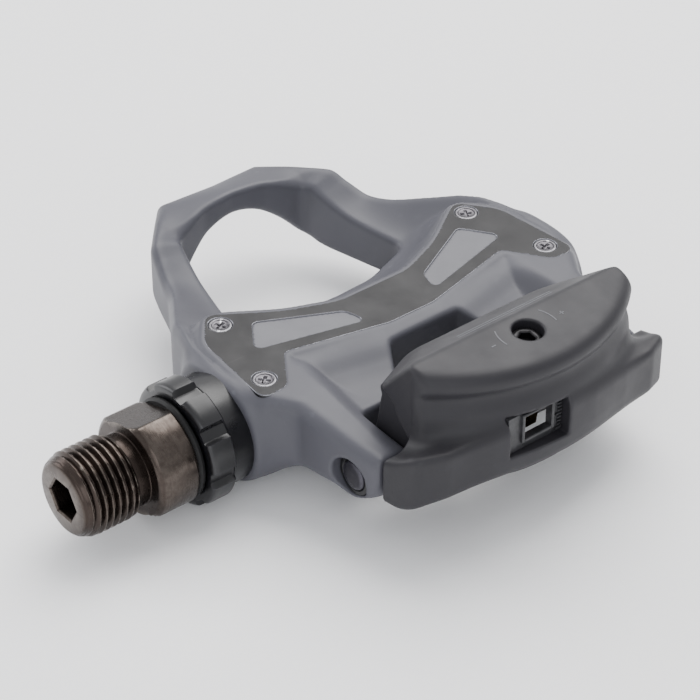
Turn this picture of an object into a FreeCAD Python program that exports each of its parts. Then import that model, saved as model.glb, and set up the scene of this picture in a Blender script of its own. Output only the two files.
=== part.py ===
# Road clipless pedal, right-hand side, three-bolt-cleat pattern.
#
# Row frame (millimetres): the spindle axis is the Y axis, +Y points from the
# pedal towards the crank, the origin is on that axis at the shoulder face that
# seats against the crank arm. +X is the riding direction (toe loop), +Z is up
# (cleat plate). Pieces of the pedal body are drawn about the pedal's own centre
# plane, which lies q_centre outboard of the shoulder, and placed by Placement.
import FreeCAD, Part
import os
import math
import Sketcher
from FreeCAD import Vector, Rotation, Placement

doc = FreeCAD.newDocument("ClipPedal")
sheet = doc.addObject("Spreadsheet::Sheet", "Dims")

DIMS = [
    # alias, value, meaning
    ("q_centre", 53.0, "shoulder to pedal centre plane"),
    ("body_front", 50.4, "spindle axis to the nose of the toe loop"),
    ("body_hw", 35.2, "half width of the body at the axle"),
    ("deck_z", 9.7, "height of the cleat plate's top"),
    ("body_rad", 10.0, "outer radius of the axle barrel"),
    ("plate_thk", 1.2, "cleat plate thickness"),
    ("screw_front_x", 10.9, "front plate screws, forward of the axle"),
    ("screw_front_y", 26.5, "front plate screws, off the centre plane"),
    ("screw_rear_x", -5.3, "rear plate screws"),
    ("screw_rear_y", 30.0, "rear plate screws, off the centre plane"),
    ("screw_head_rad", 1.95, "plate screw head radius"),
    ("screw_head_len", 0.75, "plate screw head depth"),
    ("screw_shank_rad", 1.3, "plate screw shank radius"),
    ("screw_front_len", 6.5, "front plate screw length under the head"),
    ("screw_rear_len", 1.5, "rear plate screw length under the head, over the axle bore"),
    ("thread_rad", 7.144, "9/16 inch crank thread, major radius"),
    ("thread_len", 7.7, "threaded length"),
    ("tip_y", 12.3, "shoulder to spindle tip"),
    ("neck_rad", 6.15, "thread relief radius"),
    ("neck_len", 2.25, "thread relief length"),
    ("flange_rad", 9.0, "spindle flange radius"),
    ("flange_len", 7.7, "spindle flange length"),
    ("flats_af", 15.0, "spanner flats across the flange"),
    ("flats_turn", 19.4, "turn of the spanner flats about the axle, degrees"),
    ("hex_af", 6.0, "hex key socket in the tip, across flats"),
    ("hex_deep", 8.0, "hex key socket depth"),
    ("seal_rad", 7.5, "seal seat radius"),
    ("journal_rad", 6.0, "plain journal radius"),
    ("shaft_rad", 4.2, "shaft radius between the bearings"),
    ("stub_rad", 3.5, "threaded end of the shaft"),
    ("shaft_end", 77.5, "shoulder to the inner end of the shaft"),
    ("sleeve_front", 9.05, "shoulder to the lock sleeve"),
    ("spline_len", 4.55, "splined ring length"),
    ("spline_rad", 10.5, "splined ring radius"),
    ("spline_cut", 1.0, "spline notch depth"),
    ("spline_w", 2.0, "spline notch width"),
    ("collar_len", 4.3, "smooth collar length"),
    ("collar_rad", 9.35, "smooth collar radius"),
    ("sleeve_thread_rad", 8.15, "lock sleeve thread radius"),
    ("sleeve_thread_len", 8.3, "lock sleeve thread length"),
    ("run_gap", 0.08, "running clearance round the journal"),
    ("bore_rad", 8.0, "bearing bore radius in the body"),
    ("cup_len", 4.9, "bearing cup length"),
    ("cup_in_rad", 6.75, "bearing cup land radius"),
    ("cone_out_rad", 5.65, "bearing cone land radius"),
    ("tube_in_rad", 7.0, "spacer tube inner radius"),
    ("tube_len", 35.7, "spacer tube length"),
    ("ball_rad", 1.19, "3/32 inch ball radius"),
    ("ball_pitch", 6.2, "ball pitch radius"),
    ("ball_count", 14, "balls in each row"),
    ("groove_rad", 1.23, "race groove radius"),
    ("nut_af", 10.0, "lock nut across flats"),
    ("nut_len", 4.0, "lock nut length"),
    ("washer_thk", 0.8, "tab washer thickness"),
    ("pin_x", -24.3, "claw pivot, behind the axle"),
    ("pin_z", 0.7, "claw pivot height"),
    ("pin_rad", 2.5, "pivot pin radius"),
    ("pin_half", 27.9, "half length of the pivot pin"),
    ("bush_rad", 3.5, "pivot bush radius"),
    ("bush_len", 5.9, "pivot bush length"),
    ("ear_in", 21.0, "inner face of the body ears, off the centre plane"),
    ("ear_rad", 6.3, "ear radius about the pivot"),
    ("claw_hw", 20.6, "half width of the claw between the ears"),
    ("wing_hw", 27.5, "half width over the claw's wings"),
    ("claw_back", -42.4, "rearmost point of the claw"),
    ("claw_top", 22.3, "height of the claw's ridge"),
    ("lug_in", 15.2, "inner face of the claw lugs"),
    ("bolt_x", -34.1, "adjusting bolt, behind the axle"),
    ("bolt_z", 21.6, "claw surface height at the bolt"),
    ("bolt_tilt", 8.0, "lean of the adjusting bolt, degrees"),
    ("bolt_hole_rad", 2.5, "counterbore radius at the bolt"),
    ("bolt_head_rad", 2.42, "adjusting bolt head radius"),
    ("bolt_head_len", 2.0, "adjusting bolt head length"),
    ("bolt_rad", 2.0, "adjusting bolt shank radius"),
    ("bolt_deep", 1.2, "head set below the claw surface"),
    ("bolt_len", 16.5, "adjusting bolt length under the head"),
    ("bolt_hex_af", 2.5, "hex socket in the adjusting bolt"),
    ("clip_rad", 3.6, "retaining clip radius"),
    ("clip_thk", 0.7, "retaining clip thickness"),
    ("nutplate_hw", 11.0, "half width of the tension nut"),
    ("nutplate_thk", 3.4, "thickness of the tension nut"),
    ("wire_rad", 0.85, "spring wire radius"),
    ("coil_rad", 3.65, "spring coil radius, to the wire's centre"),
    ("coil_pitch", 1.8, "spring pitch"),
    ("coil_turns", 4.0, "turns in each spring"),
]
for i, (alias, value, note) in enumerate(DIMS):
    r = i + 1
    sheet.set("A%d" % r, note)
    sheet.set("B%d" % r, str(value))
    sheet.setAlias("B%d" % r, alias)
doc.recompute()
D = {a: float(getattr(sheet, a)) for a, _, _ in DIMS}


# ---------------------------------------------------------------- helpers
def ex(alias, k=1.0, c=0.0):
    """expression text: alias * k + c"""
    s = "Dims.%s" % alias
    if abs(k - 1.0) > 1e-12:
        s += " * %.8f" % k
    if abs(c) > 1e-12:
        s += " + %.8f" % c
    return s


def origin_plane(body, role):
    for f in body.Origin.OriginFeatures:
        if f.Role == role:
            return f
    raise RuntimeError(role)


def new_body(label):
    b = doc.addObject("PartDesign::Body", label)
    b.Label = label
    return b


def val(c):
    """a coordinate is a number, or (alias, factor[, offset]) tied to the sheet"""
    if isinstance(c, tuple):
        return D[c[0]] * c[1] + (c[2] if len(c) > 2 else 0.0)
    return float(c)


def expr(c):
    if isinstance(c, tuple):
        return ex(c[0], c[1], c[2] if len(c) > 2 else 0.0)
    return None


def new_sketch(body, name, role, lift=None, flip=0.0):
    sk = body.newObject("Sketcher::SketchObject", name)
    sk.AttachmentSupport = [(origin_plane(body, role), "")]
    sk.MapMode = "FlatFace"
    if lift is not None:
        sk.AttachmentOffset = Placement(Vector(0, 0, val(lift)), Rotation())
        if expr(lift):
            sk.setExpression(".AttachmentOffset.Base.z", expr(lift))
    return sk


def pin_point(sk, geo, pos, x, y):
    """holds a vertex at x, y from the sketch origin, tied to the sheet if asked"""
    i = sk.addConstraint(Sketcher.Constraint("DistanceX", -1, 1, geo, pos, val(x)))
    if expr(x):
        sk.setExpression("Constraints[%d]" % i, expr(x))
    i = sk.addConstraint(Sketcher.Constraint("DistanceY", -1, 1, geo, pos, val(y)))
    if expr(y):
        sk.setExpression("Constraints[%d]" % i, expr(y))


def loop(sk, pts):
    """closed outline of straight edges through pts"""
    n = len(pts)
    v = [Vector(val(x), val(y), 0) for x, y in pts]
    g = [sk.addGeometry(Part.LineSegment(v[i], v[(i + 1) % n]), False) for i in range(n)]
    for i in range(n):
        sk.addConstraint(Sketcher.Constraint("Coincident", g[i], 2, g[(i + 1) % n], 1))
    for i in range(n):
        pin_point(sk, g[i], 1, pts[i][0], pts[i][1])
    return g


def round_loop(sk, pts, sx=None, sy=None):
    """closed outline; pts are (x, y, radius). sx, sy name the cells the outline
    scales with, so that every vertex follows the sheet."""
    n = len(pts)

    def cx(x):
        return (sx, x / D[sx]) if sx else x

    def cy(y):
        return (sy, y / D[sy]) if sy else y
    P = [Vector(p[0], p[1], 0) for p in pts]
    cuts = []
    for i in range(n):
        a, b, c = P[i - 1], P[i], P[(i + 1) % n]
        r = pts[i][2]
        if r <= 0:
            cuts.append(None)
            continue
        u, w = (a - b), (c - b)
        lu, lw = u.Length, w.Length
        u, w = u / lu, w / lw
        ang = math.acos(max(-1, min(1, u.dot(w))))
        if ang > math.pi - 0.02:
            cuts.append(None)
            continue
        d = r / math.tan(ang / 2)
        dm = 0.46 * min(lu, lw)
        if d > dm:
            r *= dm / d
            d = dm
        bis = (u + w)
        bis.normalize()
        cen = b + bis * (r / math.sin(ang / 2))
        mid = cen - bis * r
        cuts.append((b + u * d, mid, b + w * d, r))
    segs = []
    for i in range(n):
        j = (i + 1) % n
        s = cuts[i][2] if cuts[i] else P[i]
        e = cuts[j][0] if cuts[j] else P[j]
        segs.append(("L", s, e))
        if cuts[j]:
            segs.append(("A",) + cuts[j])
    g = []
    for s in segs:
        if s[0] == "L":
            g.append(sk.addGeometry(Part.LineSegment(s[1], s[2]), False))
        else:
            g.append(sk.addGeometry(Part.Arc(s[1], s[2], s[3]), False))
    m = len(segs)

    def ends(k):
        """which vertex number of edge k is its start and its end along the loop"""
        if segs[k][0] == "L":
            return 1, 2
        if (sk.getPoint(g[k], 1) - segs[k][1]).Length < (sk.getPoint(g[k], 2) - segs[k][1]).Length:
            return 1, 2
        return 2, 1
    for k in range(m):
        k2 = (k + 1) % m
        sk.addConstraint(Sketcher.Constraint("Coincident", g[k], ends(k)[1], g[k2], ends(k2)[0]))
    for k in range(m):
        if segs[k][0] == "L":
            pin_point(sk, g[k], 1, cx(segs[k][1].x), cy(segs[k][1].y))
            if segs[(k + 1) % m][0] == "A":
                pin_point(sk, g[k], 2, cx(segs[k][2].x), cy(segs[k][2].y))
        else:
            i = sk.addConstraint(Sketcher.Constraint("Radius", g[k], segs[k][4]))
            if sx:
                sk.setExpression("Constraints[%d]" % i, ex(sx, segs[k][4] / D[sx]))
    return g


def mirror_pts(half):
    """half outline, from the centre plane round to it again, made whole"""
    out = list(half)
    for x, y, r in reversed(half):
        if abs(y) > 1e-6:
            out.append((x, -y, r))
    return out


def circle(sk, x, y, rad):
    c = sk.addGeometry(Part.Circle(Vector(val(x), val(y), 0), Vector(0, 0, 1), val(rad)), False)
    i = sk.addConstraint(Sketcher.Constraint("Radius", c, val(rad)))
    if expr(rad):
        sk.setExpression("Constraints[%d]" % i, expr(rad))
    pin_point(sk, c, 3, x, y)
    return c


def pad(body, sk, length, name, mid=False, rev=False):
    f = body.newObject("PartDesign::Pad", name)
    f.Profile = sk
    f.Length = val(length)
    if expr(length):
        f.setExpression("Length", expr(length))
    f.Midplane = mid
    f.Reversed = rev
    sk.Visibility = False
    doc.recompute()
    return f


def pocket(body, sk, length, name, mid=False, rev=False, least=0.01):
    before = body.Shape.Volume
    f = body.newObject("PartDesign::Pocket", name)
    f.Profile = sk
    f.Length = val(length)
    if expr(length):
        f.setExpression("Length", expr(length))
    f.Midplane = mid
    f.Reversed = rev
    doc.recompute()
    if before - body.Shape.Volume < least:
        raise RuntimeError("pocket %s of %s cuts nothing" % (name, body.Label))
    return f


def revolve(body, sk, name):
    f = body.newObject("PartDesign::Revolution", name)
    f.Profile = sk
    f.ReferenceAxis = (sk, ["H_Axis"])
    f.Angle = 360.0
    doc.recompute()
    return f


def groove(body, sk, name, least=0.001):
    before = body.Shape.Volume
    f = body.newObject("PartDesign::Groove", name)
    f.Profile = sk
    f.ReferenceAxis = (sk, ["H_Axis"])
    f.Angle = 360.0
    doc.recompute()
    if before - body.Shape.Volume < least:
        raise RuntimeError("groove %s cuts nothing %s %s %s %s" % (name, f.State, before, body.Shape.Volume, f.getStatusString()))
    return f


def turned(label, pts):
    """a ring or shaft turned about the Y axis; pts are (y, radius)"""
    b = new_body(label)
    sk = new_sketch(b, label + "_section", "YZ_Plane")
    loop(sk, pts)
    revolve(b, sk, label + "_turned")
    return b


def centre(obj):
    """moves a piece drawn about the centre plane to its place on the spindle"""
    obj.Placement = Placement(Vector(0, -D["q_centre"], 0), Rotation())
    obj.setExpression(".Placement.Base.y", "-Dims.q_centre")
    doc.recompute()
    return obj


def chamfer(body, edges, size, name):
    f = body.newObject("PartDesign::Chamfer", name)
    f.Base = (body.Tip, edges)
    f.Size = size
    doc.recompute()
    return f


def edges_where(shape, test):
    return ["Edge%d" % (i + 1) for i, e in enumerate(shape.Edges) if test(e)]


# ------------------------------------------------------------- 1 spindle
b = turned("spindle", [
    (("tip_y", 1), 0), (("tip_y", 1), ("neck_rad", 1, -0.05)),
    (("neck_len", 1, D["thread_len"]), ("thread_rad", 1)),
    (("neck_len", 1), ("thread_rad", 1)), (("neck_len", 1, -0.6), ("neck_rad", 1)),
    (0, ("neck_rad", 1)), (0, ("flange_rad", 1, -0.55)), (-0.55, ("flange_rad", 1)),
    (("flange_len", -1, 0.55), ("flange_rad", 1)), (("flange_len", -1), ("flange_rad", 1, -0.55)),
    (("flange_len", -1), ("seal_rad", 1)), (("flange_len", -1, -1.2), ("seal_rad", 1)),
    (("flange_len", -1, -1.2), ("journal_rad", 1)), (-26.2, ("journal_rad", 1)),
    (-26.2, ("shaft_rad", 1)), (-66.0, ("shaft_rad", 1)), (-66.0, ("stub_rad", 1)),
    (("shaft_end", -1, 0.5), ("stub_rad", 1)), (("shaft_end", -1), ("stub_rad", 1, -0.5)),
    (("shaft_end", -1), 0)])
# hex key socket in the tip
sk = new_sketch(b, "hex_outline", "XZ_Plane", ("tip_y", -1))
ri = D["hex_af"] / math.sqrt(3)
loop(sk, [(("hex_af", math.cos(math.radians(60 * k)) / math.sqrt(3)),
           ("hex_af", math.sin(math.radians(60 * k)) / math.sqrt(3))) for k in range(6)])
pocket(b, sk, ("hex_deep", 1), "hex_socket", rev=True)
# two spanner flats on the flange
a = math.radians(D["flats_turn"])
nx, nz = math.sin(a), math.cos(a)
for s in (1, -1):
    sk = new_sketch(b, "flat_%s" % ("a" if s > 0 else "b"), "XZ_Plane", -0.5)
    q = []
    for (t, w) in ((-9.5, 0.5), (9.5, 0.5), (9.5, 0.75), (-9.5, 0.75)):
        # t runs along the flat, w is the distance from the axle in units of flats_af
        q.append((("flats_af", s * nx * w, s * nz * 0 + t * nz),
                  ("flats_af", s * nz * w, -t * nx)))
    loop(sk, q)
    pocket(b, sk, 8.8, "spanner_flat_%s" % ("a" if s > 0 else "b"), rev=True)
SPINDLE = b

# ---------------------------------------------------- 2-6 rest of the spindle set
turned("dust_seal", [
    (("flange_len", -1, -0.02), ("seal_rad", 1)), (("flange_len", -1, -0.02), ("seal_rad", 1, 0.75)),
    (("flange_len", -1, -0.5), ("seal_rad", 1, 1.15)), (("flange_len", -1, -0.95), ("seal_rad", 1, 1.05)),
    (("flange_len", -1, -1.15), ("seal_rad", 1, 0.7)), (("flange_len", -1, -1.15), ("seal_rad", 1))])

IN_ROW = -28.8      # inboard ball row
OUT_ROW = -69.4     # outboard ball row


def raced(label, y0, y1, flat, land, row, into):
    """a bearing ring turned about Y between y0 and y1; its race is an arc about
    the ball row, cut into the cylinder of radius land; flat is the other face.
    into is -1 where the race faces outward (a cone), +1 where it faces inward."""
    b = new_body(label)
    sk = new_sketch(b, label + "_section", "YZ_Plane")
    dr = D["ball_pitch"] - val(land)
    dy = math.sqrt(D["groove_rad"] ** 2 - dr ** 2)
    deep = D["ball_pitch"] + into * D["groove_rad"]
    p = [Vector(y0, val(flat), 0), Vector(y0, val(land), 0), Vector(row + dy, val(land), 0),
         Vector(row - dy, val(land), 0), Vector(y1, val(land), 0), Vector(y1, val(flat), 0)]
    g = [sk.addGeometry(Part.LineSegment(p[0], p[1]), False), sk.addGeometry(Part.LineSegment(p[1], p[2]), False),
         sk.addGeometry(Part.Arc(p[2], Vector(row, deep, 0), p[3]), False),
         sk.addGeometry(Part.LineSegment(p[3], p[4]), False), sk.addGeometry(Part.LineSegment(p[4], p[5]), False),
         sk.addGeometry(Part.LineSegment(p[5], p[0]), False)]
    fw = (sk.getPoint(g[2], 1) - p[2]).Length < 1e-6
    sk.addConstraint(Sketcher.Constraint("Coincident", g[0], 2, g[1], 1))
    sk.addConstraint(Sketcher.Constraint("Coincident", g[1], 2, g[2], 1 if fw else 2))
    sk.addConstraint(Sketcher.Constraint("Coincident", g[2], 2 if fw else 1, g[3], 1))
    sk.addConstraint(Sketcher.Constraint("Coincident", g[3], 2, g[4], 1))
    sk.addConstraint(Sketcher.Constraint("Coincident", g[4], 2, g[5], 1))
    sk.addConstraint(Sketcher.Constraint("Coincident", g[5], 2, g[0], 1))
    pin_point(sk, g[0], 1, y0, flat)
    pin_point(sk, g[0], 2, y0, land)
    pin_point(sk, g[3], 2, y1, land)
    pin_point(sk, g[4], 2, y1, flat)
    pin_point(sk, g[2], 3, row, ("ball_pitch", 1))
    i = sk.addConstraint(Sketcher.Constraint("Radius", g[2], D["groove_rad"]))
    sk.setExpression("Constraints[%d]" % i, ex("groove_rad"))
    i = sk.addConstraint(Sketcher.Constraint("DistanceY", -1, 1, g[1], 2, val(land)))
    sk.setExpression("Constraints[%d]" % i, expr(land))
    i = sk.addConstraint(Sketcher.Constraint("DistanceY", -1, 1, g[3], 1, val(land)))
    sk.setExpression("Constraints[%d]" % i, expr(land))
    revolve(b, sk, label + "_turned")
    return b


raced("inboard_cone", -26.25, -31.1, ("shaft_rad", 1), ("cone_out_rad", 1), IN_ROW, -1)
raced("outboard_cone", -66.9, -71.9, ("stub_rad", 1), ("cone_out_rad", 1), OUT_ROW, -1)
turned("tab_washer", [
    (-71.9, ("stub_rad", 1)), (-71.9, ("stub_rad", 1, 2.0)),
    (("washer_thk", -1, -71.9), ("stub_rad", 1, 2.0)), (("washer_thk", -1, -71.9), ("stub_rad", 1))])
b = new_body("lock_nut")
sk = new_sketch(b, "lock_nut_hex", "XZ_Plane", ("washer_thk", 1, 71.9))
loop(sk, [(("nut_af", math.cos(math.radians(60 * k)) / math.sqrt(3)),
           ("nut_af", math.sin(math.radians(60 * k)) / math.sqrt(3))) for k in range(6)])
circle(sk, 0, 0, ("stub_rad", 1))
pad(b, sk, ("nut_len", 1), "lock_nut_pad")

# --------------------------------------------------- 7-13 bearings in the body
y_sl = ("sleeve_front", -1)
b = turned("lock_sleeve", [
    (("sleeve_front", -1), ("journal_rad", 1, D["run_gap"])),
    (("sleeve_front", -1), ("spline_rad", 1, -0.5)),
    (("sleeve_front", -1, -0.5), ("spline_rad", 1)),
    (("sleeve_front", -1, -D["spline_len"] + 0.5), ("spline_rad", 1)),
    (("sleeve_front", -1, -D["spline_len"]), ("spline_rad", 1, -0.5)),
    (("sleeve_front", -1, -D["spline_len"]), ("collar_rad", 1)),
    (-17.9, ("collar_rad", 1)), (-17.9, ("sleeve_thread_rad", 1)),
    (-26.2, ("sleeve_thread_rad", 1)), (-26.2, ("journal_rad", 1, 1.1)),
    (-16.2, ("journal_rad", 1, 1.1)), (-16.2, ("journal_rad", 1, D["run_gap"])),
    (-13.0, ("journal_rad", 1, D["run_gap"])), (-13.0, ("journal_rad", 1, 1.15)),
    (-11.8, ("journal_rad", 1, 1.15)), (-11.8, ("journal_rad", 1, D["run_gap"]))])
sk = new_sketch(b, "spline_notch", "XZ_Plane", ("sleeve_front", 1, -0.5))
loop(sk, [(("spline_w", -0.5), ("spline_rad", 1, -D["spline_cut"])),
          (("spline_w", 0.5), ("spline_rad", 1, -D["spline_cut"])),
          (("spline_w", 0.5), ("spline_rad", 1, 1.0)),
          (("spline_w", -0.5), ("spline_rad", 1, 1.0))])
notch = pocket(b, sk, ("spline_len", 1, 1.0), "notch", rev=True)
pat = b.newObject("PartDesign::PolarPattern", "notches")
pat.Originals = [notch]
pat.Axis = (origin_plane(b, "Y_Axis"), [""])
pat.Angle = 360.0
pat.Occurrences = 8
b.Tip = pat
doc.recompute()

ring = doc.addObject("Part::Torus", "o_ring")
ring.Label = "o_ring"
ring.setExpression("Radius1", ex("journal_rad", 1, 0.54))
ring.Radius2 = 0.5
ring.Placement = Placement(Vector(0, -12.4, 0), Rotation(Vector(1, 0, 0), 90))


raced("inboard_cup", -26.3, -31.2, ("bore_rad", 1), ("cup_in_rad", 1), IN_ROW, 1)
raced("outboard_cup", -66.9, -71.8, ("bore_rad", 1), ("cup_in_rad", 1), OUT_ROW, 1)
turned("spacer_tube", [
    (-31.2, ("tube_in_rad", 1)), (-31.2, ("bore_rad", 1)),
    (-66.9, ("bore_rad", 1)), (-66.9, ("tube_in_rad", 1))])


def balls(label, row):
    n = int(D["ball_count"])
    parts = []
    for k in range(n):
        s = doc.addObject("Part::Sphere", "%s_%02d" % (label, k + 1))
        s.setExpression("Radius", ex("ball_rad"))
        t = 2 * math.pi * k / n
        s.Placement = Placement(Vector(D["ball_pitch"] * math.cos(t), row, D["ball_pitch"] * math.sin(t)), Rotation())
        s.setExpression(".Placement.Base.x", ex("ball_pitch", math.cos(t)))
        s.setExpression(".Placement.Base.z", ex("ball_pitch", math.sin(t)))
        parts.append(s)
    c = doc.addObject("Part::Compound", label)
    c.Label = label
    c.Links = parts
    return c


balls("inboard_balls", IN_ROW)
balls("outboard_balls", OUT_ROW)

# --------------------------------------------------------------- 14 body shell
OUTLINE = mirror_pts([
    (50.0, 0, 0), (50.9, 10.6, 1.6), (39.4, 20.1, 6), (28.8, 24.0, 14), (17.6, 31.6, 9),
    (9.5, 34.4, 10), (-1.0, 35.2, 14), (-9.4, 33.2, 4.5), (-13.8, 30.3, 5), (-31.2, 27.6, 0)])
LOOP_HOLE = mirror_pts([
    (42.6, 0, 0), (42.2, 6.2, 8), (39.9, 13.8, 2.6), (18.4, 18.6, 2.4), (14.3, 7.6, 12), (13.9, 0, 0)])
PLATE = mirror_pts([
    (4.1, 0, 0), (4.1, 7.4, 9), (7.6, 16.2, 26), (14.7, 26.8, 1.9), (8.4, 31.8, 8),
    (-9.6, 33.5, 3.2), (-9.1, 28.2, 2.6), (-1.7, 23.1, 1.3), (-6.02, 4.6, 7), (-6.02, 0, 0)])
PANE = [(8.1, 22.1, 1.1), (1.9, 26.4, 1.1), (-3.0, 7.3, 0.9), (1.2, 8.5, 2.0)]

b = new_body("body_shell")
sk = new_sketch(b, "body_outline", "XY_Plane", -12.0)
round_loop(sk, OUTLINE, "body_front", "body_hw")
pad(b, sk, 24.0, "body_block")
# upper side profile: nose, dip of the loop's rails, deck, ears
top = [(50.6, 6.9), (42.6, 9.2), (38.6, 8.7), (33.5, 6.3), (28.6, 5.2), (23.5, 6.3), (18.6, 8.8),
       (13.5, 9.7), (-10.5, 9.7), (-15.5, 9.1), (-23.0, 7.9), (-31.6, 6.7)]
sk = new_sketch(b, "upper_side", "XZ_Plane")
loop(sk, [(("body_front", x / D["body_front"]), ("deck_z", z / D["deck_z"])) for x, z in top]
     + [(-36.0, 16.0), (56.0, 16.0)])
pocket(b, sk, 90.0, "upper_cut", mid=True)
# lower side profile
low = [(51.2, 3.6), (48.5, 0.4), (42.0, -1.6), (28.0, -3.4), (16.0, -4.4), (8.0, -5.2), (-9.0, -5.2),
       (-14.0, -3.6), (-24.4, -4.3), (-28.5, -3.6), (-31.6, -3.6)]
sk = new_sketch(b, "lower_side", "XZ_Plane")
loop(sk, [(("body_front", x / D["body_front"]), ("deck_z", z / D["deck_z"])) for x, z in low]
     + [(-36.0, -16.0), (56.0, -16.0)])
pocket(b, sk, 90.0, "lower_cut", mid=True)
# axle barrel
sk = new_sketch(b, "barrel_circle", "XZ_Plane")
circle(sk, 0, 0, ("body_rad", 1))
pad(b, sk, ("body_hw", 2, -0.2), "barrel", mid=True)
# the barrel stays below the deck
sk = new_sketch(b, "deck_level", "XY_Plane", ("deck_z", 1, 2.0))
loop(sk, [(-40, -45), (60, -45), (60, 45), (-40, 45)])
pocket(b, sk, 2.0, "deck_trim")
# toe loop opening, right through
sk = new_sketch(b, "loop_outline", "XY_Plane", -14.0)
round_loop(sk, LOOP_HOLE, "body_front", "body_hw")
pocket(b, sk, 30.0, "loop_opening", rev=True)
# hollowed slope between the deck and the loop
sk = new_sketch(b, "front_slope", "XZ_Plane")
loop(sk, [(5.9, 9.2), (8.0, 6.6), (10.8, 4.2), (13.0, 2.8), (15.5, 1.9), (18.6, 9.9), (6.3, 12.0)])
pocket(b, sk, 31.0, "front_hollow", mid=True)
# fork for the claw: trapezoid window, then the full width between the ears
sk = new_sketch(b, "fork_outline", "XY_Plane", -14.0)
round_loop(sk, mirror_pts([(-8.9, 0, 0), (-8.9, 7.2, 1.2), (-17.9, 12.5, 1.0), (-17.9, 21.0, 0.8),
                           (-34.0, 21.0, 0)]))
pocket(b, sk, 30.0, "fork_opening", rev=True)
# sunken floor behind the deck
sk = new_sketch(b, "rear_floor", "XZ_Plane")
loop(sk, [(-9.4, 11.0), (-9.4, 8.7), (-12.5, 7.0), (-16.0, 6.1), (-19.0, 5.7), (-19.0, 11.0)])
pocket(b, sk, 40.4, "rear_hollow", mid=True)
# ears end in a cylinder about the claw pivot
sk = new_sketch(b, "ear_end", "XZ_Plane")
loop(sk, [(-36, 16), (-36, -10)] + [
    (("pin_x", 1, -(D["ear_rad"]) * math.cos(math.radians(t))), ("pin_z", 1, D["ear_rad"] * math.sin(math.radians(t))))
    for t in (-56, -42, -28, -14, 0)] + [(("pin_x", 1, -D["ear_rad"]), 16)])
pocket(b, sk, 90.0, "ear_round", mid=True)
# recess for the cleat plate, leaving two pads that fill the plate's windows
sk = new_sketch(b, "plate_seat", "XY_Plane", ("deck_z", 1, 0.0))
round_loop(sk, [(x + (0.12 if x > 0 else -0.12) * 0, y, r) for x, y, r in PLATE], "body_front", "body_hw")
round_loop(sk, PANE, "body_front", "body_hw")
round_loop(sk, [(x, -y, r) for x, y, r in reversed(PANE)], "body_front", "body_hw")
pocket(b, sk, ("plate_thk", 1), "plate_recess")
# screw pilot holes
for sx in ("front", "rear"):
    sk = new_sketch(b, "pilots_" + sx, "XY_Plane", ("deck_z", 1))
    for s in (1, -1):
        circle(sk, ("screw_%s_x" % sx, 1), ("screw_%s_y" % sx, s), ("screw_shank_rad", 1))
    pocket(b, sk, ("screw_%s_len" % sx, 1, 0.9), "pilot_holes_" + sx)
# bearing bore, blind at the outboard end
sk = new_sketch(b, "bore_section", "YZ_Plane")
q = D["q_centre"]
loop(sk, [(("body_hw", 1, 1.0), 0), (("body_hw", 1, 1.0), ("sleeve_thread_rad", 1)), (q - 26.3, ("sleeve_thread_rad", 1)),
          (q - 26.3, ("bore_rad", 1)), (q - 71.8, ("bore_rad", 1)), (q - 71.8, ("bore_rad", 1, -1.5)),
          (q - 83.0, ("bore_rad", 1, -1.5)), (q - 84.5, 0)])
groove(b, sk, "bearing_bore")
# holes in the rear edge of the deck that hold the springs' front legs
for s in (1, -1):
    sk = b.newObject("Sketcher::SketchObject", "leg_hole_%s" % ("a" if s > 0 else "b"))
    sk.AttachmentSupport = [(origin_plane(b, "YZ_Plane"), "")]
    sk.MapMode = "FlatFace"
    sk.AttachmentOffset = Placement(Vector(s * 14.15, -1.05, -18.4), Rotation(Vector(1, 0, 0), -20.0))
    c = sk.addGeometry(Part.Circle(Vector(0, 0, 0), Vector(0, 0, 1), D["wire_rad"] + 0.15), False)
    k = sk.addConstraint(Sketcher.Constraint("Radius", c, D["wire_rad"] + 0.15))
    sk.setExpression("Constraints[%d]" % k, ex("wire_rad", 1, 0.15))
    sk.addConstraint(Sketcher.Constraint("Coincident", c, 3, -1, 1))
    pocket(b, sk, 3.9, "leg_hole_cut_%s" % ("a" if s > 0 else "b"), rev=True)
# pivot bores through the ears, with seats for the bushes
sk = new_sketch(b, "pivot_bore", "XZ_Plane")
circle(sk, ("pin_x", 1), ("pin_z", 1), ("bush_rad", 1))
pocket(b, sk, 70.0, "pivot_bores", mid=True)
centre(b)
SHELL = b

# -------------------------------------------------------------- 15 cleat plate
b = new_body("cleat_plate")
sk = new_sketch(b, "plate_outline", "XY_Plane", ("deck_z", 1, -D["plate_thk"]))
round_loop(sk, PLATE, "body_front", "body_hw")
round_loop(sk, PANE, "body_front", "body_hw")
round_loop(sk, [(x, -y, r) for x, y, r in reversed(PANE)], "body_front", "body_hw")
for sx in ("front", "rear"):
    for s in (1, -1):
        circle(sk, ("screw_%s_x" % sx, 1), ("screw_%s_y" % sx, s), ("screw_shank_rad", 1, 0.05))
pad(b, sk, ("plate_thk", 1), "plate_pad")
sk = new_sketch(b, "head_seats", "XY_Plane", ("deck_z", 1))
for sx in ("front", "rear"):
    for s in (1, -1):
        circle(sk, ("screw_%s_x" % sx, 1), ("screw_%s_y" % sx, s), ("screw_head_rad", 1, 0.03))
pocket(b, sk, ("screw_head_len", 1, 0.05), "head_seat_cut")
centre(b)

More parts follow.
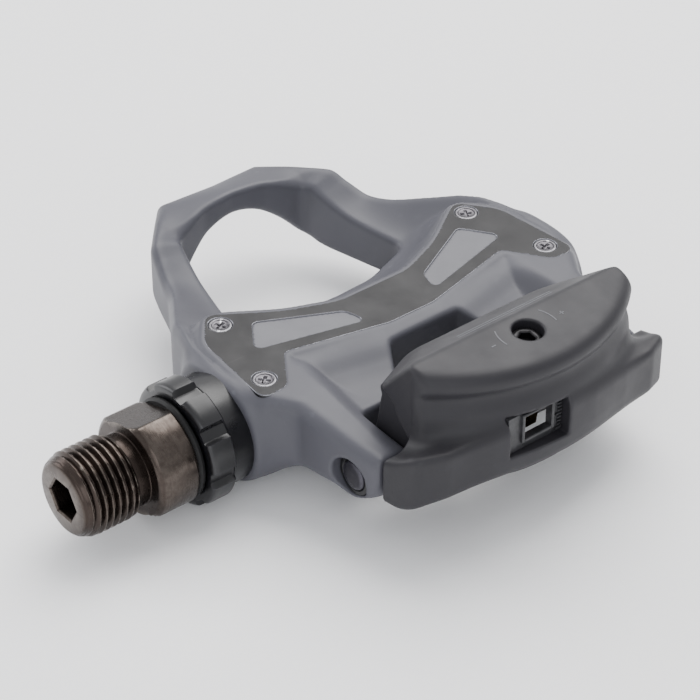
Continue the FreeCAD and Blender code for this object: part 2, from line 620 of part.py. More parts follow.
# -------------------------------------------------------------- 16 plate screws
screws = []
for sx in ("front", "rear"):
    for s, side in ((1, "in"), (-1, "out")):
        tag = "%s_%s" % (sx, side)
        head = doc.addObject("Part::Cylinder", "head_" + tag)
        head.setExpression("Radius", ex("screw_head_rad"))
        head.setExpression("Height", ex("screw_head_len"))
        shank = doc.addObject("Part::Cylinder", "shank_" + tag)
        shank.setExpression("Radius", ex("screw_shank_rad", 1, -0.02))
        shank.setExpression("Height", ex("screw_%s_len" % sx))
        drive1 = doc.addObject("Part::Box", "slot_a_" + tag)
        drive2 = doc.addObject("Part::Box", "slot_b_" + tag)
        for d, (lx, ly) in ((drive1, (2.2, 0.5)), (drive2, (0.5, 2.2))):
            d.Length, d.Width, d.Height = lx, ly, 0.8
        x, y = D["screw_%s_x" % sx], s * D["screw_%s_y" % sx]
        zt = D["deck_z"] - 0.05
        head.Placement = Placement(Vector(x, y, zt - D["screw_head_len"]), Rotation())
        head.setExpression(".Placement.Base.x", ex("screw_%s_x" % sx))
        head.setExpression(".Placement.Base.y", ex("screw_%s_y" % sx, s))
        head.setExpression(".Placement.Base.z", "Dims.deck_z - 0.05 - Dims.screw_head_len")
        shank.Placement = Placement(Vector(x, y, zt - D["screw_head_len"] - D["screw_%s_len" % sx]), Rotation())
        shank.setExpression(".Placement.Base.x", ex("screw_%s_x" % sx))
        shank.setExpression(".Placement.Base.y", ex("screw_%s_y" % sx, s))
        shank.setExpression(".Placement.Base.z", "Dims.deck_z - 0.05 - Dims.screw_head_len - Dims.screw_%s_len" % sx)
        drive1.Placement = Placement(Vector(x - 1.1, y - 0.25, zt - 0.55), Rotation())
        drive2.Placement = Placement(Vector(x - 0.25, y - 1.1, zt - 0.55), Rotation())
        f = doc.addObject("Part::Fuse", "screw_blank_" + tag)
        f.Base, f.Tool = head, shank
        f2 = doc.addObject("Part::Fuse", "drive_" + tag)
        f2.Base, f2.Tool = drive1, drive2
        c = doc.addObject("Part::Cut", "screw_" + tag)
        c.Base, c.Tool = f, f2
        screws.append(c)
comp = doc.addObject("Part::Compound", "plate_screws")
comp.Label = "plate_screws"
comp.Links = screws
doc.recompute()
centre(comp)

# ------------------------------------------------- 17-18 claw pivot pin and bushes
pin = doc.addObject("Part::Cylinder", "pivot_pin")
pin.Label = "pivot_pin"
pin.setExpression("Radius", ex("pin_rad"))
pin.setExpression("Height", ex("pin_half", 2))
pin.Placement = Placement(Vector(D["pin_x"], -D["q_centre"] + D["pin_half"], D["pin_z"]), Rotation(Vector(1, 0, 0), 90))
pin.setExpression(".Placement.Base.x", ex("pin_x"))
pin.setExpression(".Placement.Base.y", "Dims.pin_half - Dims.q_centre")
pin.setExpression(".Placement.Base.z", ex("pin_z"))

bushes = []
for s, side in ((1, "in"), (-1, "out")):
    o = doc.addObject("Part::Cylinder", "bush_blank_" + side)
    o.setExpression("Radius", ex("bush_rad"))
    o.setExpression("Height", ex("bush_len"))
    i = doc.addObject("Part::Cylinder", "bush_bore_" + side)
    i.setExpression("Radius", ex("pin_rad"))
    i.Height = 12
    y0 = 21.6 if s > 0 else -21.6 - D["bush_len"]
    for w, yy in ((o, y0), (i, y0 - 3)):
        w.Placement = Placement(Vector(D["pin_x"], yy + (D["bush_len"] if w is o else 12), D["pin_z"]),
                                Rotation(Vector(1, 0, 0), 90))
        w.setExpression(".Placement.Base.x", ex("pin_x"))
        w.setExpression(".Placement.Base.z", ex("pin_z"))
    c = doc.addObject("Part::Cut", "bush_" + side)
    c.Base, c.Tool = o, i
    bushes.append(c)
comp = doc.addObject("Part::Compound", "pivot_bushes")
comp.Label = "pivot_bushes"
comp.Links = bushes
doc.recompute()
centre(comp)

# ------------------------------------------------------------------ 19 rear claw
b = new_body("rear_claw")
# side profile of the middle part, from the lip over the ridge to the lugs
side = [(-18.9, 13.5), (-18.95, 14.6), (-22.0, 17.3), (-30.0, 22.3), (-36.0, 21.5), (-40.0, 20.2),
        (-41.9, 18.2), (-42.4, 15.5), (-42.4, 9.0), (-41.3, 3.2), (-38.8, -0.6), (-31.0, -1.4),
        (-26.5, -2.9), (-24.3, -3.2), (-21.6, -2.2), (-20.4, 0.7), (-20.9, 3.4), (-22.6, 12.4), (-22.2, 13.2)]
sk = new_sketch(b, "claw_side", "XZ_Plane")
loop(sk, [(x if x > -40 else ("claw_back", x / D["claw_back"]), ("claw_top", z / D["claw_top"])) for x, z in side])
pad(b, sk, ("claw_hw", 2, 3.4), "claw_block", mid=True)
# plan outline: corners of the lip cut back, round tail
sk = new_sketch(b, "claw_plan_cut", "XY_Plane", -6.0)
R0, xc = 32.3, -10.1
arc = [(xc - R0 * math.cos(math.radians(t)), R0 * math.sin(math.radians(t))) for t in (0, 6, 12, 18, 24, 30, 36, 41)]
half = [(-18.9, 0, 0), (-18.9, 12.2, 1.0), (-20.4, 15.3, 1.5), (-24.2, 20.6, 1.2), (-30.9, 20.9, 0)]
prof = [(x, y) for x, y, r in half] + [(-31.0, 22.3), (-34.4, 22.3)] + [
    (x, y) for x, y in reversed(arc) if y > 0.01 and y < 21.8] + [arc[0]]
pts = prof + [(x, -y) for x, y in reversed(prof) if abs(y) > 1e-6]
outer = [(-12, 0), (-12, 30), (-46, 30), (-46, -30), (-12, -30)]
loop(sk, [(-10, -32), (-10, 32), (-48, 32), (-48, -32)])
loop(sk, pts)
pocket(b, sk, 34.0, "claw_plan", rev=True)
# wings that flare out behind the ears
sk = new_sketch(b, "wing_plan", "XY_Plane", -0.6)
wing = [(-31.0, 18.0, 0), (-31.0, 27.5, 0), (-33.4, 27.2, 0), (-38.4, 26.1, 2.0), (-40.3, 22.4, 3.0), (-40.9, 14.0, 0), (-38.0, 12.0, 0)]
round_loop(sk, wing, "claw_back", "wing_hw")
round_loop(sk, [(x, -y, r) for x, y, r in reversed(wing)], "claw_back", "wing_hw")
pad(b, sk, 10.4, "wings")
# wing tops fall away towards the ear
sk = new_sketch(b, "wing_top", "XZ_Plane")
loop(sk, [(-30.5, 7.6), (-33.0, 8.2), (-38.2, 9.9), (-41.5, 10.2), (-41.5, 14.0), (-30.5, 14.0)])
for s in (1, -1):
    k = sk if s > 0 else None
    if k is None:
        k = new_sketch(b, "wing_top_b", "XZ_Plane")
        loop(k, [(-30.5, 7.6), (-33.0, 8.2), (-38.2, 9.9), (-41.5, 10.2), (-41.5, 14.0), (-30.5, 14.0)])
    k.AttachmentOffset = Placement(Vector(0, 0, (22.4 if s > 0 else -22.4)), Rotation())
    pocket(b, k, 8.0, "wing_top_cut_%s" % ("a" if s > 0 else "b"), rev=(s > 0))
# cavity that holds springs, pin and tension nut; open below and in front
sk = new_sketch(b, "cavity", "XZ_Plane")
loop(sk, [(-16.0, -6.0), (-16.0, 12.4), (-22.8, 12.4), (-24.6, 12.9), (-29.5, 17.4), (-35.0, 17.007), (-36.4, 15.0),
          (-36.4, -6.0)])
pocket(b, sk, ("lug_in", 2), "cavity_cut", mid=True)
sk = new_sketch(b, "cavity_deep", "XZ_Plane")
loop(sk, [(-33.0, -6.0), (-33.0, 17.15), (-36.5, 16.9), (-39.0, 14.0), (-39.0, 4.5), (-37.0, -6.0)])
pocket(b, sk, 22.0, "cavity_deep_cut", mid=True)
# the claw clears the ears
sk = new_sketch(b, "ear_room", "XZ_Plane")
loop(sk, [(-17.0, -6.0), (-17.0, 13.4), (-22.5, 14.4), (-25.1, 14.6), (-27.0, 13.6), (-28.2, 10.9), (-30.2, 9.0), (-31.0, 8.6), (-31.0, -6.0)])
for s in (1, -1):
    k = sk if s > 0 else new_sketch(b, "ear_room_b", "XZ_Plane")
    if s < 0:
        loop(k, [(-17.0, -6.0), (-17.0, 13.4), (-22.5, 14.4), (-25.1, 14.6), (-27.0, 13.6), (-28.2, 10.9), (-30.2, 9.0), (-31.0, 8.6), (-31.0, -6.0)])
    k.AttachmentOffset = Placement(Vector(0, 0, (20.6 if s > 0 else -20.6)), Rotation())
    f = b.newObject("PartDesign::Pocket", "ear_clear_%s" % ("a" if s > 0 else "b"))
    f.Profile = k
    f.Length = 10.0
    f.Reversed = (s > 0)
    doc.recompute()
# pivot bores in the lugs
sk = new_sketch(b, "lug_bore", "XZ_Plane")
circle(sk, ("pin_x", 1), ("pin_z", 1), ("pin_rad", 1, 0.06))
pocket(b, sk, 60.0, "lug_bores", mid=True)
# gauge window in the tail: W0..W1 across, W2..W3 high
W0, W1, W2, W3 = -0.3, 10.8, 6.4, 13.2
sk = new_sketch(b, "window", "YZ_Plane", -45.0)
loop(sk, [(W0, W2), (W1, W2), (W1, W3), (W0, W3)])
pocket(b, sk, 7.5, "window_cut", rev=True)
# seat and bore of the adjusting bolt, leaning with the tail
ta = math.radians(D["bolt_tilt"])
NB = Vector(-math.sin(ta), 0, math.cos(ta))       # direction the bolt leaves in
P0 = Vector(D["bolt_x"], 1.0, D["bolt_z"])       # on the claw surface, centre-plane frame
sk = b.newObject("Sketcher::SketchObject", "bolt_seat")
sk.AttachmentSupport = [(origin_plane(b, "XY_Plane"), "")]
sk.MapMode = "FlatFace"
sk.AttachmentOffset = Placement(P0 + NB * 2.0, Rotation(Vector(0, 1, 0), -D["bolt_tilt"]))
sk.setExpression(".AttachmentOffset.Rotation.Angle", "Dims.bolt_tilt")
sk.AttachmentOffset = Placement(P0 + NB * 2.0, Rotation(Vector(0, -1, 0), D["bolt_tilt"]))
circle(sk, 0, 0, ("bolt_hole_rad", 1))
pocket(b, sk, 2.0 + D["bolt_deep"] + D["bolt_head_len"] + 0.05, "bolt_seat_cut")
sk = b.newObject("Sketcher::SketchObject", "bolt_way")
sk.AttachmentSupport = [(origin_plane(b, "XY_Plane"), "")]
sk.MapMode = "FlatFace"
sk.AttachmentOffset = Placement(P0 + NB * 2.0, Rotation(Vector(0, -1, 0), D["bolt_tilt"]))
circle(sk, 0, 0, ("bolt_rad", 1, D["run_gap"]))
pocket(b, sk, 12.0, "bolt_way_cut")
centre(b)

# ------------------------------------------------------------ 20 claw wear plate
b = new_body("claw_lip")
sk = new_sketch(b, "lip_side", "XZ_Plane")
loop(sk, [(-18.9, 13.5), (-18.62, 13.0), (-19.2, 12.5), (-22.6, 12.4), (-22.2, 13.2)])
pad(b, sk, 23.6, "lip_pad", mid=True)
centre(b)

# ------------------------------------------------------- 21 tension gauge bezel
b = new_body("gauge_bezel")
sk = new_sketch(b, "bezel_outline", "YZ_Plane", ("claw_back", 1, 0.9))
loop(sk, [(W0, W2), (W1, W2), (W1, W3), (W0, W3)])
loop(sk, [(W0 + 2.5, W2 + 2.0), (W1 - 3.1, W2 + 2.0), (W1 - 3.1, W3 - 0.6), (W0 + 2.5, W3 - 0.6)])
pad(b, sk, 1.3, "bezel_pad")
centre(b)

# -------------------------------- 22-24 adjusting bolt, its clip and the tension nut
BOLT = Placement(Vector(D["bolt_x"], 1.0 - D["q_centre"], D["bolt_z"]), Rotation(Vector(0, -1, 0), D["bolt_tilt"]))


def on_bolt(obj):
    """places a piece drawn about the bolt's axis, claw surface at height 0"""
    obj.Placement = BOLT
    obj.setExpression(".Placement.Base.x", ex("bolt_x"))
    obj.setExpression(".Placement.Base.y", "1 - Dims.q_centre")
    obj.setExpression(".Placement.Base.z", ex("bolt_z"))
    doc.recompute()
    return obj


b = new_body("adjust_bolt")
sk = new_sketch(b, "head_circle", "XY_Plane", ("bolt_deep", -1, -D["bolt_head_len"]))
circle(sk, 0, 0, ("bolt_head_rad", 1))
pad(b, sk, ("bolt_head_len", 1), "bolt_head")
sk = new_sketch(b, "shank_circle", "XY_Plane", ("bolt_deep", -1, -D["bolt_head_len"]))
circle(sk, 0, 0, ("bolt_rad", 1))
pad(b, sk, ("bolt_len", 1), "bolt_shank", rev=True)
sk = new_sketch(b, "bolt_hex", "XY_Plane", ("bolt_deep", -1))
loop(sk, [(("bolt_hex_af", math.cos(math.radians(60 * k)) / math.sqrt(3)),
           ("bolt_hex_af", math.sin(math.radians(60 * k)) / math.sqrt(3))) for k in range(6)])
pocket(b, sk, 1.5, "bolt_socket")
on_bolt(b)

CLIP_TOP = -4.95
b = new_body("retaining_clip")
sk = new_sketch(b, "clip_ring", "XY_Plane", CLIP_TOP - D["clip_thk"])
circle(sk, 0, 0, ("clip_rad", 1))
circle(sk, 0, 0, ("bolt_rad", 1))
pad(b, sk, ("clip_thk", 1), "clip_pad")
on_bolt(b)

NUT_MID = -12.0
b = new_body("tension_nut")
sk = new_sketch(b, "nut_outline", "XY_Plane", ("nutplate_thk", -0.5, NUT_MID))
round_loop(sk, [(4.2, -1.0 - D["nutplate_hw"], 1.0), (4.2, -1.0 + D["nutplate_hw"], 1.0), (-3.6, -1.0 + D["nutplate_hw"], 1.0),
                (-3.6, 5.3, 0), (-6.1, 5.3, 0), (-6.1, 1.3, 0), (-3.6, 1.3, 0), (-3.6, -1.0 - D["nutplate_hw"], 1.0)])
circle(sk, 0, 0, ("bolt_rad", 1, 0.05))
pad(b, sk, ("nutplate_thk", 1), "nut_plate")
on_bolt(b)


# ------------------------------------------------------------- 25-26 claw springs
def spring(label, s):
    """torsion spring about the pivot: a close coil, one leg forward into the body
    above the pivot, one leg back and up under the tension nut. s is +1 inboard."""
    R, w, p, n = D["coil_rad"], D["wire_rad"], D["coil_pitch"], D["coil_turns"]
    px, pz = D["pin_x"], D["pin_z"]
    leg_y = 14.15
    t0, t1 = math.radians(290.0), math.radians(225.0 - 360.0 * D["coil_turns"])
    pts = []
    steps = int(D["coil_turns"] * 24) + 4
    for i in range(steps + 1):
        f = i / steps
        t = t0 + f * (t1 - t0)
        y = leg_y - f * (t0 - t1) / (2 * math.pi) * p
        pts.append(Vector(px + R * math.cos(t), s * y, pz + R * math.sin(t)))
    curve = Part.BSplineCurve()
    curve.interpolate(pts)
    run_in = Vector(math.sin(t0), 0, -math.cos(t0))
    front = Part.LineSegment(pts[0] - run_in * 7.9, pts[0]).toShape()
    tang = Vector(math.sin(t1), 0, -math.cos(t1))
    e = pts[-1]
    rear = Part.LineSegment(e, e + tang * 11.9).toShape()
    spine = curve.toShape()
    solid = None
    for k, edge in enumerate((front, spine, rear)):
        a0 = edge.valueAt(edge.FirstParameter)
        d0 = edge.tangentAt(edge.FirstParameter)
        prof = Part.Wire([Part.makeCircle(w, a0, d0)])
        sh = Part.Wire([edge]).makePipeShell([prof], True, True)
        solid = sh if solid is None else solid.fuse(sh)
    for q in (pts[0], pts[-1]):
        solid = solid.fuse(Part.makeSphere(w, q))
    solid = solid.removeSplitter()
    o = doc.addObject("Part::Feature", label)
    o.Label = label
    o.Shape = solid if solid.ShapeType == "Solid" else solid.Solids[0]
    print(label, "solids", len(solid.Solids), "volume", round(solid.Volume, 1), "wire length x area",
          round((sum(x.Length for x in (front, spine, rear))) * math.pi * w * w, 1), "valid", solid.isValid())
    o.Placement = Placement(Vector(0, -D["q_centre"], 0), Rotation())
    return o


spring("spring_inboard", 1)
spring("spring_outboard", -1)
doc.recompute()

# ---------------------------------------------------------------- check and write
NODES = ["spindle", "dust_seal", "inboard_cone", "outboard_cone", "tab_washer", "lock_nut",
         "lock_sleeve", "o_ring", "inboard_cup", "outboard_cup", "spacer_tube",
         "inboard_balls", "outboard_balls", "body_shell", "cleat_plate", "plate_screws",
         "pivot_pin", "pivot_bushes", "spring_inboard", "spring_outboard",
         "rear_claw", "claw_lip", "gauge_bezel", "adjust_bolt", "retaining_clip", "tension_nut"]
bad = []
for o in doc.Objects:
    if "Invalid" in o.State or "Error" in o.State:
        bad.append("%s %s" % (o.Label, o.State))
by_label = {}
for o in doc.Objects:
    if o.Label in NODES and o.TypeId != "Spreadsheet::Sheet":
        by_label.setdefault(o.Label, o)
for n in NODES:
    o = by_label.get(n)
    if o is None or o.Shape.isNull() or not o.Shape.isValid():
        bad.append("shape of " + n)
if bad:
    raise RuntimeError("; ".join(bad))
os.makedirs("parts", exist_ok=True)
for n in NODES:
    o = by_label[n]
    o.Shape.exportStep("parts/%s.step" % n)
    bb = o.Shape.BoundBox
    print("%-16s %9.1f mm3 solids %2d  X %6.1f %6.1f  Y %6.1f %6.1f  Z %6.1f %6.1f" % (
        n, o.Shape.Volume, len(o.Shape.Solids), bb.XMin, bb.XMax, bb.YMin, bb.YMax, bb.ZMin, bb.ZMax))
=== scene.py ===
import bpy
import math
import numpy as np
from mathutils import Vector, Matrix


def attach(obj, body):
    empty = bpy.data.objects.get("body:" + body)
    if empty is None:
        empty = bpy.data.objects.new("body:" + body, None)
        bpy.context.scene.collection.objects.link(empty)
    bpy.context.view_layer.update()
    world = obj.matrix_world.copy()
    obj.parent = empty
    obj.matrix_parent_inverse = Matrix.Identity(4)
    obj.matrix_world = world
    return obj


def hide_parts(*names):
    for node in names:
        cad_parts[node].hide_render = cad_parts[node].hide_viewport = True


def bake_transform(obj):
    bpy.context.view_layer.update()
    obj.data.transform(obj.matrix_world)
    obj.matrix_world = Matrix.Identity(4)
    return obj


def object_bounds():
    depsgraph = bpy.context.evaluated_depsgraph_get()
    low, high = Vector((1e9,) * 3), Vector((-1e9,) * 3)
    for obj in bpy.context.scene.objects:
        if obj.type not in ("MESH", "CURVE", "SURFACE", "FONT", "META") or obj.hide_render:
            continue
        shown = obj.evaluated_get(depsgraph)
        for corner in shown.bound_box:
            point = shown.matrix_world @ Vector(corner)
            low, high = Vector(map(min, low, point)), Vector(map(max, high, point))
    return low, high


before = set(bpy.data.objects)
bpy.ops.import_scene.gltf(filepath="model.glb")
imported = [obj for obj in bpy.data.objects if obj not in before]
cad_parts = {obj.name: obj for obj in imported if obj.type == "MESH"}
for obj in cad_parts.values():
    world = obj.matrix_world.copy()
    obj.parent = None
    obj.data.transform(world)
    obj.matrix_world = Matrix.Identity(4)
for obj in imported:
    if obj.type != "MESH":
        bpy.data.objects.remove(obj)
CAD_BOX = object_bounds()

MM = 0.001
MID = -53.0                      # the pedal's centre plane, mm along Y
PX, PZ = -24.3, 0.7              # claw pivot
C1 = 0.40     # grid of the body shell, mm
C2 = 0.32     # grid of the claw, mm


# ============================================================ signed distance tools
def smax(a, b, k):
    h = np.maximum(k - np.abs(a - b), 0.0) / k
    return np.maximum(a, b) + h * h * (k * 0.25)


def smin(a, b, k):
    return -smax(-a, -b, k)


def sstep(e0, e1, x):
    t = np.clip((x - e0) / (e1 - e0), 0.0, 1.0)
    return t * t * (3 - 2 * t)


def curve(pts, lo=-70.0, hi=70.0):
    """smooth curve through (x, value) points, monotone between them"""
    p = sorted(pts)
    x = np.array([q[0] for q in p], float)
    y = np.array([q[1] for q in p], float)
    h = np.diff(x)
    d = np.diff(y) / h
    m = np.zeros_like(y)
    for i in range(1, len(x) - 1):
        if d[i - 1] * d[i] > 0:
            w1, w2 = 2 * h[i] + h[i - 1], h[i] + 2 * h[i - 1]
            m[i] = (w1 + w2) / (w1 / d[i - 1] + w2 / d[i])
    m[0], m[-1] = d[0], d[-1]
    gx = np.linspace(lo, hi, 4001)
    i = np.clip(np.searchsorted(x, gx) - 1, 0, len(x) - 2)
    t = (gx - x[i]) / h[i]
    t2 = np.clip(t, 0, 1)
    gy = ((2 * t2 ** 3 - 3 * t2 ** 2 + 1) * y[i] + (t2 ** 3 - 2 * t2 ** 2 + t2) * h[i] * m[i]
          + (-2 * t2 ** 3 + 3 * t2 ** 2) * y[i + 1] + (t2 ** 3 - t2 ** 2) * h[i] * m[i + 1])
    gy = gy + np.where(t < 0, t * h[i] * m[0], 0) + np.where(t > 1, (t - 1) * h[i] * m[-1], 0)
    return lambda v: np.interp(v, gx, gy)


def rounded(pts, n=7):
    """outline with each corner (x, y, r) turned into an arc"""
    out = []
    m = len(pts)
    for i in range(m):
        x, y, r = pts[i]
        p = np.array([x, y], float)
        if r <= 0:
            out.append(p)
            continue
        a = np.array(pts[i - 1][:2], float) - p
        b = np.array(pts[(i + 1) % m][:2], float) - p
        la, lb = np.linalg.norm(a), np.linalg.norm(b)
        a, b = a / la, b / lb
        ang = math.acos(max(-1, min(1, float(a @ b))))
        if ang > math.pi - 1e-3:
            out.append(p)
            continue
        t = min(r / math.tan(ang / 2), 0.48 * la, 0.48 * lb)
        rr = t * math.tan(ang / 2)
        c = p + (a + b) / np.linalg.norm(a + b) * (rr / math.sin(ang / 2))
        s, e = p + a * t - c, p + b * t - c
        a0, a1 = math.atan2(s[1], s[0]), math.atan2(e[1], e[0])
        d = (a1 - a0 + math.pi) % (2 * math.pi) - math.pi
        for k in range(n + 1):
            q = a0 + d * k / n
            out.append(c + rr * np.array([math.cos(q), math.sin(q)]))
    return np.array(out)


def mirror(pts):
    return list(pts) + [(x, -y, r) for x, y, r in reversed(pts) if abs(y) > 1e-6]


def poly(px, py, pts):
    """signed distance to a closed outline, negative inside; px and py broadcast"""
    pts = np.asarray(pts, float)
    best, odd = None, None
    for i in range(len(pts)):
        ax, ay = pts[i - 1]
        bx, by = pts[i]
        ex, ey = bx - ax, by - ay
        L = ex * ex + ey * ey
        if L < 1e-12:
            continue
        wx, wy = px - ax, py - ay
        t = np.clip((wx * ex + wy * ey) / L, 0.0, 1.0)
        d = (wx - ex * t) ** 2 + (wy - ey * t) ** 2
        best = d if best is None else np.minimum(best, d)
        c = ((ay > py) != (by > py)) & (px < (bx - ax) * (py - ay) / (by - ay if by != ay else 1e-12) + ax)
        odd = c if odd is None else odd ^ c
    return np.where(odd, -1.0, 1.0) * np.sqrt(best)


def table(pts, lo, hi, step=0.12):
    """the signed distance to an outline, read from a fine table"""
    gx = np.arange(lo[0], hi[0] + step, step)
    gy = np.arange(lo[1], hi[1] + step, step)
    T = poly(gx[:, None], gy[None, :], pts)

    def f(px, py):
        u = np.clip((px - lo[0]) / step, 0, len(gx) - 1.001)
        v = np.clip((py - lo[1]) / step, 0, len(gy) - 1.001)
        i, j = u.astype(int), v.astype(int)
        u, v = u - i, v - j
        return (T[i, j] * (1 - u) + T[i + 1, j] * u) * (1 - v) + (T[i, j + 1] * (1 - u) + T[i + 1, j + 1] * u) * v
    return f


def nets(F, lo, hi, cell, relax=1):
    """closed mesh of F = 0 by surface nets, its points then drawn onto F exactly"""
    n = [int(math.ceil((hi[k] - lo[k]) / cell)) + 1 for k in range(3)]
    g = [lo[k] + cell * np.arange(n[k]) for k in range(3)]
    f = np.asarray(F(g[0][:, None, None], g[1][None, :, None], g[2][None, None, :]))
    f = np.broadcast_to(f, tuple(n)).astype(np.float32).copy()
    f[0], f[-1], f[:, 0], f[:, -1], f[:, :, 0], f[:, :, -1] = (1.0,) * 6
    s = f < 0
    cn = np.array(n) - 1
    total = int(cn[0] * cn[1] * cn[2])

    def flat(i, j, k):
        return (i * cn[1] + j) * cn[2] + k
    cells, pos, quads = [], [], []
    for ax in range(3):
        o1, o2 = (ax + 1) % 3, (ax + 2) % 3
        a = [slice(None)] * 3
        b = [slice(None)] * 3
        a[ax], b[ax] = slice(0, -1), slice(1, None)
        cross = s[tuple(a)] != s[tuple(b)]
        idx = np.argwhere(cross)
        ia = idx.copy()
        ib = idx.copy()
        ib[:, ax] += 1
        fa = f[ia[:, 0], ia[:, 1], ia[:, 2]]
        fb = f[ib[:, 0], ib[:, 1], ib[:, 2]]
        p = idx.astype(np.float64)
        p[:, ax] += fa / (fa - fb)
        ring = []
        for d1, d2 in ((-1, -1), (0, -1), (0, 0), (-1, 0)):
            c = idx.copy()
            c[:, o1] += d1
            c[:, o2] += d2
            fl = flat(c[:, 0], c[:, 1], c[:, 2])
            ring.append(fl)
            cells.append(fl)
            pos.append(p)
        q = np.stack(ring, 1)
        inside = s[ia[:, 0], ia[:, 1], ia[:, 2]]
        q[~inside] = q[~inside][:, ::-1]
        quads.append(q)
    cells = np.concatenate(cells)
    pos = np.concatenate(pos)
    quads = np.concatenate(quads)
    used, inv = np.unique(cells, return_inverse=True)
    cnt = np.bincount(inv)
    P = np.stack([np.bincount(inv, weights=pos[:, k]) / cnt for k in range(3)], 1)
    P = np.array(lo) + P * cell
    Q = np.searchsorted(used, quads)

    def grad(X):
        e = 0.02
        out = np.empty_like(X)
        for k in range(3):
            d = np.zeros(3)
            d[k] = e
            out[:, k] = (ev(X + d) - ev(X - d)) / (2 * e)
        return out

    def ev(X):
        return np.asarray(F(X[:, 0], X[:, 1], X[:, 2]), float)
    for it in range(relax + 1):
        if it:                      # even out the points along the surface
            S = np.zeros_like(P)
            W = np.zeros(len(P))
            for k in range(4):
                i, j = Q[:, k], Q[:, (k + 1) % 4]
                for c in range(3):
                    S[:, c] += np.bincount(i, weights=P[j, c], minlength=len(P))
                W += np.bincount(i, minlength=len(P))
            P = P + 0.5 * (S / W[:, None] - P)
        for _ in range(2):
            v = ev(P)
            gr = grad(P)
            g2 = np.maximum((gr ** 2).sum(1), 0.25)
            step = -(v / g2)[:, None] * gr
            ln = np.linalg.norm(step, axis=1)
            step *= np.minimum(1.0, 0.5 * cell / np.maximum(ln, 1e-9))[:, None]
            P = P + step
    return P, Q


# ============================================================ mesh helpers
def obj_from(name, verts, faces, smooth=True, mat=None, y0=0.0):
    """verts in mm; y0 is added to Y"""
    v = np.asarray(verts, float).copy()
    v[:, 1] += y0
    me = bpy.data.meshes.new(name)
    me.from_pydata((v * MM).tolist(), [], [tuple(int(i) for i in q) for q in faces])
    me.validate()
    me.update()
    me.polygons.foreach_set("use_smooth", [smooth] * len(me.polygons))
    ob = bpy.data.objects.new(name, me)
    bpy.context.scene.collection.objects.link(ob)
    if mat:
        me.materials.append(mat)
    return ob


def sharp(ob, angle=35.0):
    """keeps edges over this angle crisp while the rest is smooth"""
    me = ob.data
    with bpy.context.temp_override(object=ob, active_object=ob, selected_objects=[ob], selected_editable_objects=[ob]):
        bpy.ops.object.shade_smooth_by_angle(angle=math.radians(angle), keep_sharp_edges=True)
    return ob


def grid_faces(rows, cols, close_cols=True, base=0):
    out = []
    for i in range(rows - 1):
        for j in range(cols if close_cols else cols - 1):
            a = base + i * cols + j
            b = base + i * cols + (j + 1) % cols
            out.append((a, b, b + cols, a + cols))
    return out


def turned(name, rings, seg, mat, y_dir=1, centre=(0.0, 0.0), flip=False, cap=(True, True), angle=38.0):
    """a piece about the Y axis: rings is a list of (y, r) where r is a number or a
    function of the angles; y may be a function of the angles too"""
    t = np.linspace(0, 2 * math.pi, seg, endpoint=False)
    V = []
    for y, r in rings:
        rr = r(t) if callable(r) else np.full(seg, float(r))
        yy = y(t) if callable(y) else np.full(seg, float(y))
        V.append(np.stack([centre[0] + rr * np.cos(t), yy, centre[1] + rr * np.sin(t)], 1))
    V = np.concatenate(V)
    F = grid_faces(len(rings), seg)
    n = len(V)
    extra = []
    if cap[0]:
        extra.append(V[:seg].mean(0))
        c = n + len(extra) - 1
        F += [(c, (j + 1) % seg, j) for j in range(seg)]
    if cap[1]:
        extra.append(V[-seg:].mean(0))
        c = n + len(extra) - 1
        F += [(c, n - seg + j, n - seg + (j + 1) % seg) for j in range(seg)]
    if extra:
        V = np.concatenate([V, np.array(extra)])
    if flip:
        F = [tuple(reversed(f)) for f in F]
    ob = obj_from(name, V, F, True, mat)
    return sharp(ob, angle)


def plate_from(name, loops, z0, z1, bevel, mat, y0=MID, res=2):
    """a flat plate with bevelled edges from closed outlines (mm); the inner ones are holes"""
    cu = bpy.data.curves.new(name + "_outline", "CURVE")
    cu.dimensions = "2D"
    cu.fill_mode = "BOTH"
    cu.extrude = (z1 - z0) / 2 * MM - bevel * MM
    cu.bevel_depth = bevel * MM
    cu.bevel_resolution = res
    cu.offset = -bevel * MM
    for lp in loops:
        sp = cu.splines.new("POLY")
        sp.points.add(len(lp) - 1)
        for p, (x, y) in zip(sp.points, lp):
            p.co = (x * MM, (y + y0) * MM, 0, 1)
        sp.use_cyclic_u = True
    tmp = bpy.data.objects.new(name + "_tmp", cu)
    bpy.context.scene.collection.objects.link(tmp)
    bpy.context.view_layer.update()
    me = bpy.data.meshes.new_from_object(tmp.evaluated_get(bpy.context.evaluated_depsgraph_get()))
    bpy.data.objects.remove(tmp)
    bpy.data.curves.remove(cu)
    me.transform(Matrix.Translation((0, 0, (z0 + z1) / 2 * MM)))
    me.name = name
    ob = bpy.data.objects.new(name, me)
    bpy.context.scene.collection.objects.link(ob)
    me.materials.clear()
    me.materials.append(mat)
    return ob


